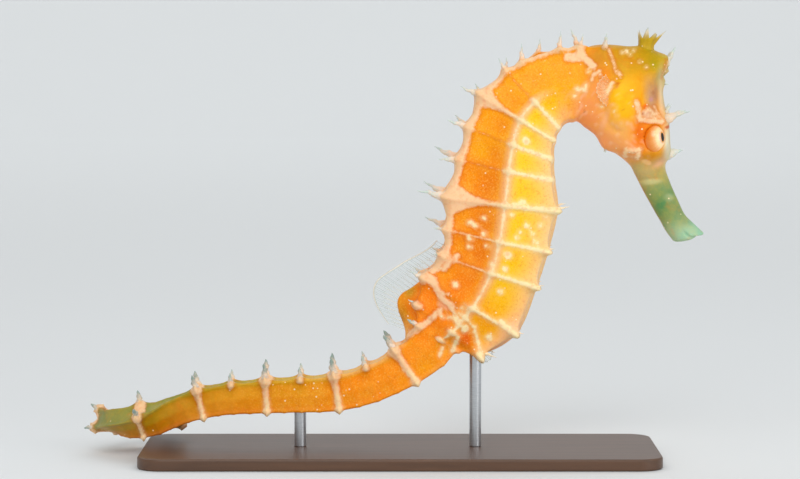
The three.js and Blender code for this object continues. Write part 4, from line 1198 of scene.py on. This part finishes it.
def sheet(name, rows, ray, thick):
    """A thin closed sheet from a grid of middle points, with the ray mask at each of them."""
    high, wide = rows.shape[:2]
    normal = unit(np.cross(np.gradient(rows, axis=0), np.gradient(rows, axis=1)) + 1e-9)
    lift = normal * thick[..., None]
    points = np.concatenate([(rows + lift).reshape(-1, 3), (rows - lift).reshape(-1, 3)])
    count = high * wide
    faces = []
    for k in range(high - 1):
        for m in range(wide - 1):
            a = k * wide + m
            b, c, d = a + 1, a + wide + 1, a + wide
            faces += [(a, d, c, b), (count + a, count + b, count + c, count + d)]
    index = np.arange(count).reshape(high, wide)
    rim = [*index[0], *index[1:, -1], *index[-1, -2::-1], *index[-2:0:-1, 0]]
    faces += [(a, b, count + b, count + a) for a, b in zip(rim, rim[1:] + rim[:1])]
    faces = [tuple(int(i) for i in face) for face in faces]
    return mesh_object(name, points, faces, {"ray": np.tile(ray.ravel(), 2)})


def ray_mask(fan, reach, fork, fade):
    """Pale rays across a fin, which fork past their middle, and its thread at the margin."""
    split, half = 0.16, 0.1  # shares of the gap between two rays
    off = np.abs(np.abs(fan - np.round(fan)) - np.where(reach > fork, split, 0.0))
    ray = np.clip(1.2 - off / half, 0, 1) * (1 - fade * smooth(0.4, 0.8, reach))
    return np.maximum(ray, smooth(0.94, 0.96, reach))


def dorsal_fin():
    """The clear fin on the lower back: rays that fan out, tufted, and a sway along its margin."""
    rays = settings().fin_rays
    share, reach = np.linspace(0, 1, rays * 20 + 1), np.linspace(0, 1, 40)
    rings = DORSAL_FIRST + (DORSAL_LAST - DORSAL_FIRST) * share
    backs, _, tails = ways(rings)
    fan = DORSAL_LEAN + DORSAL_OPENS * share
    out = backs * np.cos(fan)[:, None] + tails * np.sin(fan)[:, None]
    height = DORSAL_HEIGHT * np.sin(math.pi * (0.14 + 0.74 * share)) ** 0.6 * (0.8 + 0.2 * share)
    sunk = backs * FIN_SUNK
    rows = (base_surface(rings, 0)[:, 0] - sunk)[None]
    rows = rows + (out * height[:, None] + sunk)[None] * reach[:, None, None]
    sway = DORSAL_SWAY * np.sin(share * 9)[None] * reach[:, None] ** 1.5
    rows = rows + np.array((0, 1.0, 0)) * sway[..., None]
    grid_share, grid_reach = np.meshgrid(share, reach)
    middle, spread, faint = DORSAL_TUFT
    tufts = 1 - faint * bell(grid_share - middle, spread) * (grid_reach < 0.96)
    ray = ray_mask(grid_share * rays, grid_reach, DORSAL_FORK, DORSAL_FADE) * tufts
    thick = FIN_HALF_THICK + RAY_EXTRA * ray * (1 - 0.4 * grid_reach)
    return sheet("dorsal_fin_membrane", rows, ray, thick)


def fan_fin(name, root, direction, upward, length, spread, rays, bend):
    """A small fan of rays from one root."""
    share, reach = np.linspace(0, 1, rays * 10 + 1), np.linspace(0.08, 1, 16)
    angle = (share * 2 - 1) * spread
    out = direction * np.cos(angle)[:, None] + upward * np.sin(angle)[:, None]
    scallop = 1 + 0.03 * np.cos(share * rays * 2 * math.pi)
    size = length * (1 - 0.1 * np.abs(share * 2 - 1)) * scallop
    rows = root + out[None] * (size[None] * reach[:, None])[..., None]
    side = np.cross(direction, upward)
    rows = rows + side * (bend * reach[:, None, None] ** 2 * np.cos(share * 5)[None, :, None])
    ray = ray_mask(*np.meshgrid(share * rays, reach), FORK, RAY_FADE)
    return sheet(name, rows, ray, FIN_HALF_THICK + RAY_EXTRA * ray)


class SEAHORSE_OT_fins(bpy.types.Operator):
    """The dorsal, pectoral and anal fins"""

    bl_idname = "seahorse.fins"
    bl_label = "Fins"

    def execute(self, context):
        deselect()
        clear = fin_material("fin membrane, clear with pale rays", "#B8D0C8", "#ECE4D2", 0.05)
        blush = fin_material("fin membrane, blush", "#FCBC78", "#FFD4A0", 0.22)
        dress(dorsal_fin(), clear, "fin", "dorsal_fin")
        x, z, y, length, spread, splay = PECTORAL
        for name, side in (("pectoral_fin_right", -1), ("pectoral_fin_left", 1)):
            direction = np.array((-math.cos(splay), side * math.sin(splay), 0))
            fin = fan_fin(name + "_membrane", np.array((x, side * y, z)), direction,
                          np.array((0, 0, 1.0)), length, spread, PECTORAL_RAYS,
                          PECTORAL_BEND * side)
            dress(fin, blush, "fin", name)
        back, _, tailward = (way[0] for way in ways(ANAL_RING))
        root = base_surface(ANAL_RING, 8)[0, 0] + back * FIN_SUNK
        fin = fan_fin("anal_fin_membrane", root, -back, tailward, *ANAL)
        dress(fin, clear, "fin", "anal_fin")
        return {"FINISHED"}


# ---------------------------------------------------------------- stand


def wood_material():
    """Dark oiled wood: grain of about 1 mm drawn out along the base, satin oil over it."""
    material, add, link, shader, coords = new_material("dark oiled wood", Roughness=0.38)
    drawn = add("Mapping", {"Vector": coords, "Scale": (0.06, 1.0, 1.0)})
    grain = add("TexNoise", {"Vector": drawn, "Scale": per(1.1), "Detail": 6.0, "Roughness": 0.6,
                             "Distortion": 0.4})
    tone = add("Mix", {0: grain, 6: linear("#3B281C"), 7: tuple(settings().wood_colour)}, 2,
               data_type="RGBA")
    link(tone, shader["Base Color"])
    bump = add("Bump", {"Height": grain, "Strength": 0.2, "Distance": 0.08 * MM})
    link(bump, shader["Normal"])
    return material


def steel_material():
    """Brushed steel: a soft highlight over lines round the rod, drawn 0.12 mm apart to show."""
    material, add, link, shader, coords = new_material("brushed steel", Metallic=1.0,
                                                       Roughness=0.3)
    drawn = add("Mapping", {"Vector": coords, "Scale": (0.1, 0.1, 1.0)})
    lines = add("TexNoise", {"Vector": drawn, "Scale": per(0.12), "Detail": 3.0})
    tone = add("Mix", {0: lines, 6: linear("#A8ACB0"), 7: linear("#D2D5D8")}, 2, data_type="RGBA")
    link(tone, shader["Base Color"])
    return material


class SEAHORSE_OT_stand(bpy.types.Operator):
    """The wooden base and the two steel rods"""

    bl_idname = "seahorse.stand"
    bl_label = "Stand"

    def execute(self, context):
        length, width, thick, corner = BASE
        deselect()
        bpy.ops.mesh.primitive_cube_add(size=1, location=(0, 0, thick / 2 * MM),
                                        scale=(length * MM, width * MM, thick * MM))
        base = named("base_plate")
        bpy.ops.object.mode_set(mode="EDIT")
        bpy.ops.mesh.select_mode(type="EDGE")
        bpy.ops.mesh.select_all(action="DESELECT")
        bpy.ops.object.mode_set(mode="OBJECT")
        for edge in base.data.edges:
            a, b = (base.data.vertices[i].co for i in edge.vertices)
            edge.select = abs(a.z - b.z) > 0.5 * thick * MM
        bpy.ops.object.mode_set(mode="EDIT")
        bpy.ops.mesh.bevel(offset=corner * MM, segments=8, affect="EDGES")
        bpy.ops.object.mode_set(mode="OBJECT")
        soften(base, BASE_EDGE)
        dress(base, wood_material(), "base", "stand_base")
        steel = steel_material()
        for name, x in (("trunk", ROD_TRUNK), ("tail", ROD_TAIL)):
            deselect()
            low, high = thick * MM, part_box("stand_rod_" + name)[1][2]
            bpy.ops.mesh.primitive_cylinder_add(vertices=48, radius=ROD_RADIUS * MM,
                                                depth=high - low,
                                                location=(x * MM, 0, (high + low) / 2))
            rod = named("rod_" + name)
            soften(rod, ROD_EDGE)
            dress(rod, steel, "rod", "stand_rod_" + name)
        return {"FINISHED"}


# ---------------------------------------------------------------- stage


CAMERA_DISTANCE = 450.0
CAMERA_LIFT = 4.0  # degrees above level
FRAME_WIDTH = 400 / 3  # millimetres across the picture at the animal's middle plane
AIM_HEIGHT = 36.7
SENSOR = 36.0
# Soft lights: name, place and aim in metres, sides, and power as a share of the key light's.
LIGHTS = (
    ("key", (-0.05, -0.6, 0.5), (0.005, 0, 0.04), (0.5, 0.5), 1),
    ("fill", (0.5, -0.45, 0.2), (0.02, 0, 0.04), (0.4, 0.4), 0.5),
    ("backdrop", (0, 1.5, 1.6), (0, 1.6, 0), (3.0, 2.0), 7),
)
SKY, SKY_STRENGTH = (0.95, 0.96, 0.97, 1), 0.55  # the light from all round


def area_light(name, place, aim, size, power):
    """A soft rectangular light, turned to its aim."""
    light = bpy.data.lights.new(name, "AREA")
    light.shape = "RECTANGLE"
    light.size, light.size_y = size
    light.energy = power
    made = bpy.data.objects.new(name, light)
    made.location = place
    made.rotation_euler = (Vector(aim) - Vector(place)).to_track_quat("-Z", "Y").to_euler()
    bpy.context.scene.collection.objects.link(made)


def make_sweep():
    """A floor that turns up into a wall far behind, in one smooth bend."""
    half, near, far, bend, top = 3.0, -2.0, 1.6, 0.8, 3.0
    profile = [(near, 0.0), (far, 0.0)]
    profile += [(far + bend * math.sin(a), bend - bend * math.cos(a))
                for a in np.linspace(0, math.pi / 2, 24)[1:]]
    profile.append((far + bend, top))
    points = [(x, y, z) for y, z in profile for x in (-half, half)]
    faces = [(2 * k, 2 * k + 1, 2 * k + 3, 2 * k + 2) for k in range(len(profile) - 1)]
    return mesh_object("floor", np.array(points) / MM, faces)


class SEAHORSE_OT_stage(bpy.types.Operator):
    """Floor, soft lights and camera"""

    bl_idname = "seahorse.stage"
    bl_label = "Stage"

    def execute(self, context):
        deselect()
        scene = context.scene
        floor = make_sweep()
        # matt wall paint, which shows no highlight
        paint_coat = new_material("pale painted floor", Roughness=0.8,
                                  Base_Color=tuple(settings().floor_colour))[0]
        floor.data.materials.append(paint_coat)
        for name, place, aim, size, share in LIGHTS:
            area_light(name, place, aim, size, settings().light_power * share)
        world = bpy.data.worlds.new("studio")
        world.use_nodes = True
        sky = world.node_tree.nodes["Background"].inputs
        sky["Color"].default_value, sky["Strength"].default_value = SKY, SKY_STRENGTH
        scene.world = world
        scene.view_settings.view_transform = "Standard"
        camera = bpy.data.cameras.new("camera")
        camera.sensor_width = SENSOR
        camera.lens = SENSOR * CAMERA_DISTANCE / FRAME_WIDTH
        camera.clip_start, camera.clip_end = 0.01, 20
        made = bpy.data.objects.new("camera", camera)
        lift = math.radians(CAMERA_LIFT)
        back = Vector((0, -math.cos(lift), math.sin(lift)))
        aim = Vector((0, 0, AIM_HEIGHT * MM))
        made.location = aim + back * CAMERA_DISTANCE * MM
        made.rotation_mode = "QUATERNION"
        made.rotation_quaternion = (-back).to_track_quat("-Z", "Y")
        scene.collection.objects.link(made)
        scene.camera = made
        return {"FINISHED"}


class SEAHORSE_PT_panel(bpy.types.Panel):
    """Lists the settings, and a button for each group of pieces"""

    bl_label = "Seahorse"
    bl_idname = "SEAHORSE_PT_panel"
    bl_space_type = "VIEW_3D"
    bl_region_type = "UI"
    bl_category = "Seahorse"

    def draw(self, context):
        layout = self.layout
        for key in SeahorseSettings.__annotations__:
            layout.prop(context.scene.seahorse, key)
        for operator in OPERATORS:
            layout.operator(operator.bl_idname)


OPERATORS = (SEAHORSE_OT_skin, SEAHORSE_OT_eyes, SEAHORSE_OT_fins, SEAHORSE_OT_stand,
             SEAHORSE_OT_stage)
CLASSES = (SeahorseSettings, *OPERATORS, SEAHORSE_PT_panel)


def register():
    """Adds the classes, and the settings to every scene."""
    for cls in CLASSES:
        bpy.utils.register_class(cls)
    bpy.types.Scene.seahorse = PointerProperty(type=SeahorseSettings)


def unregister():
    """Takes the settings and the classes away again."""
    del bpy.types.Scene.seahorse
    for cls in reversed(CLASSES):
        bpy.utils.unregister_class(cls)


def main():
    """Makes every piece in order."""
    register()
    bpy.ops.seahorse.skin()
    bpy.ops.seahorse.eyes()
    bpy.ops.seahorse.fins()
    bpy.ops.seahorse.stand()
    bpy.ops.seahorse.stage()


if __name__ == "__main__":
    main()
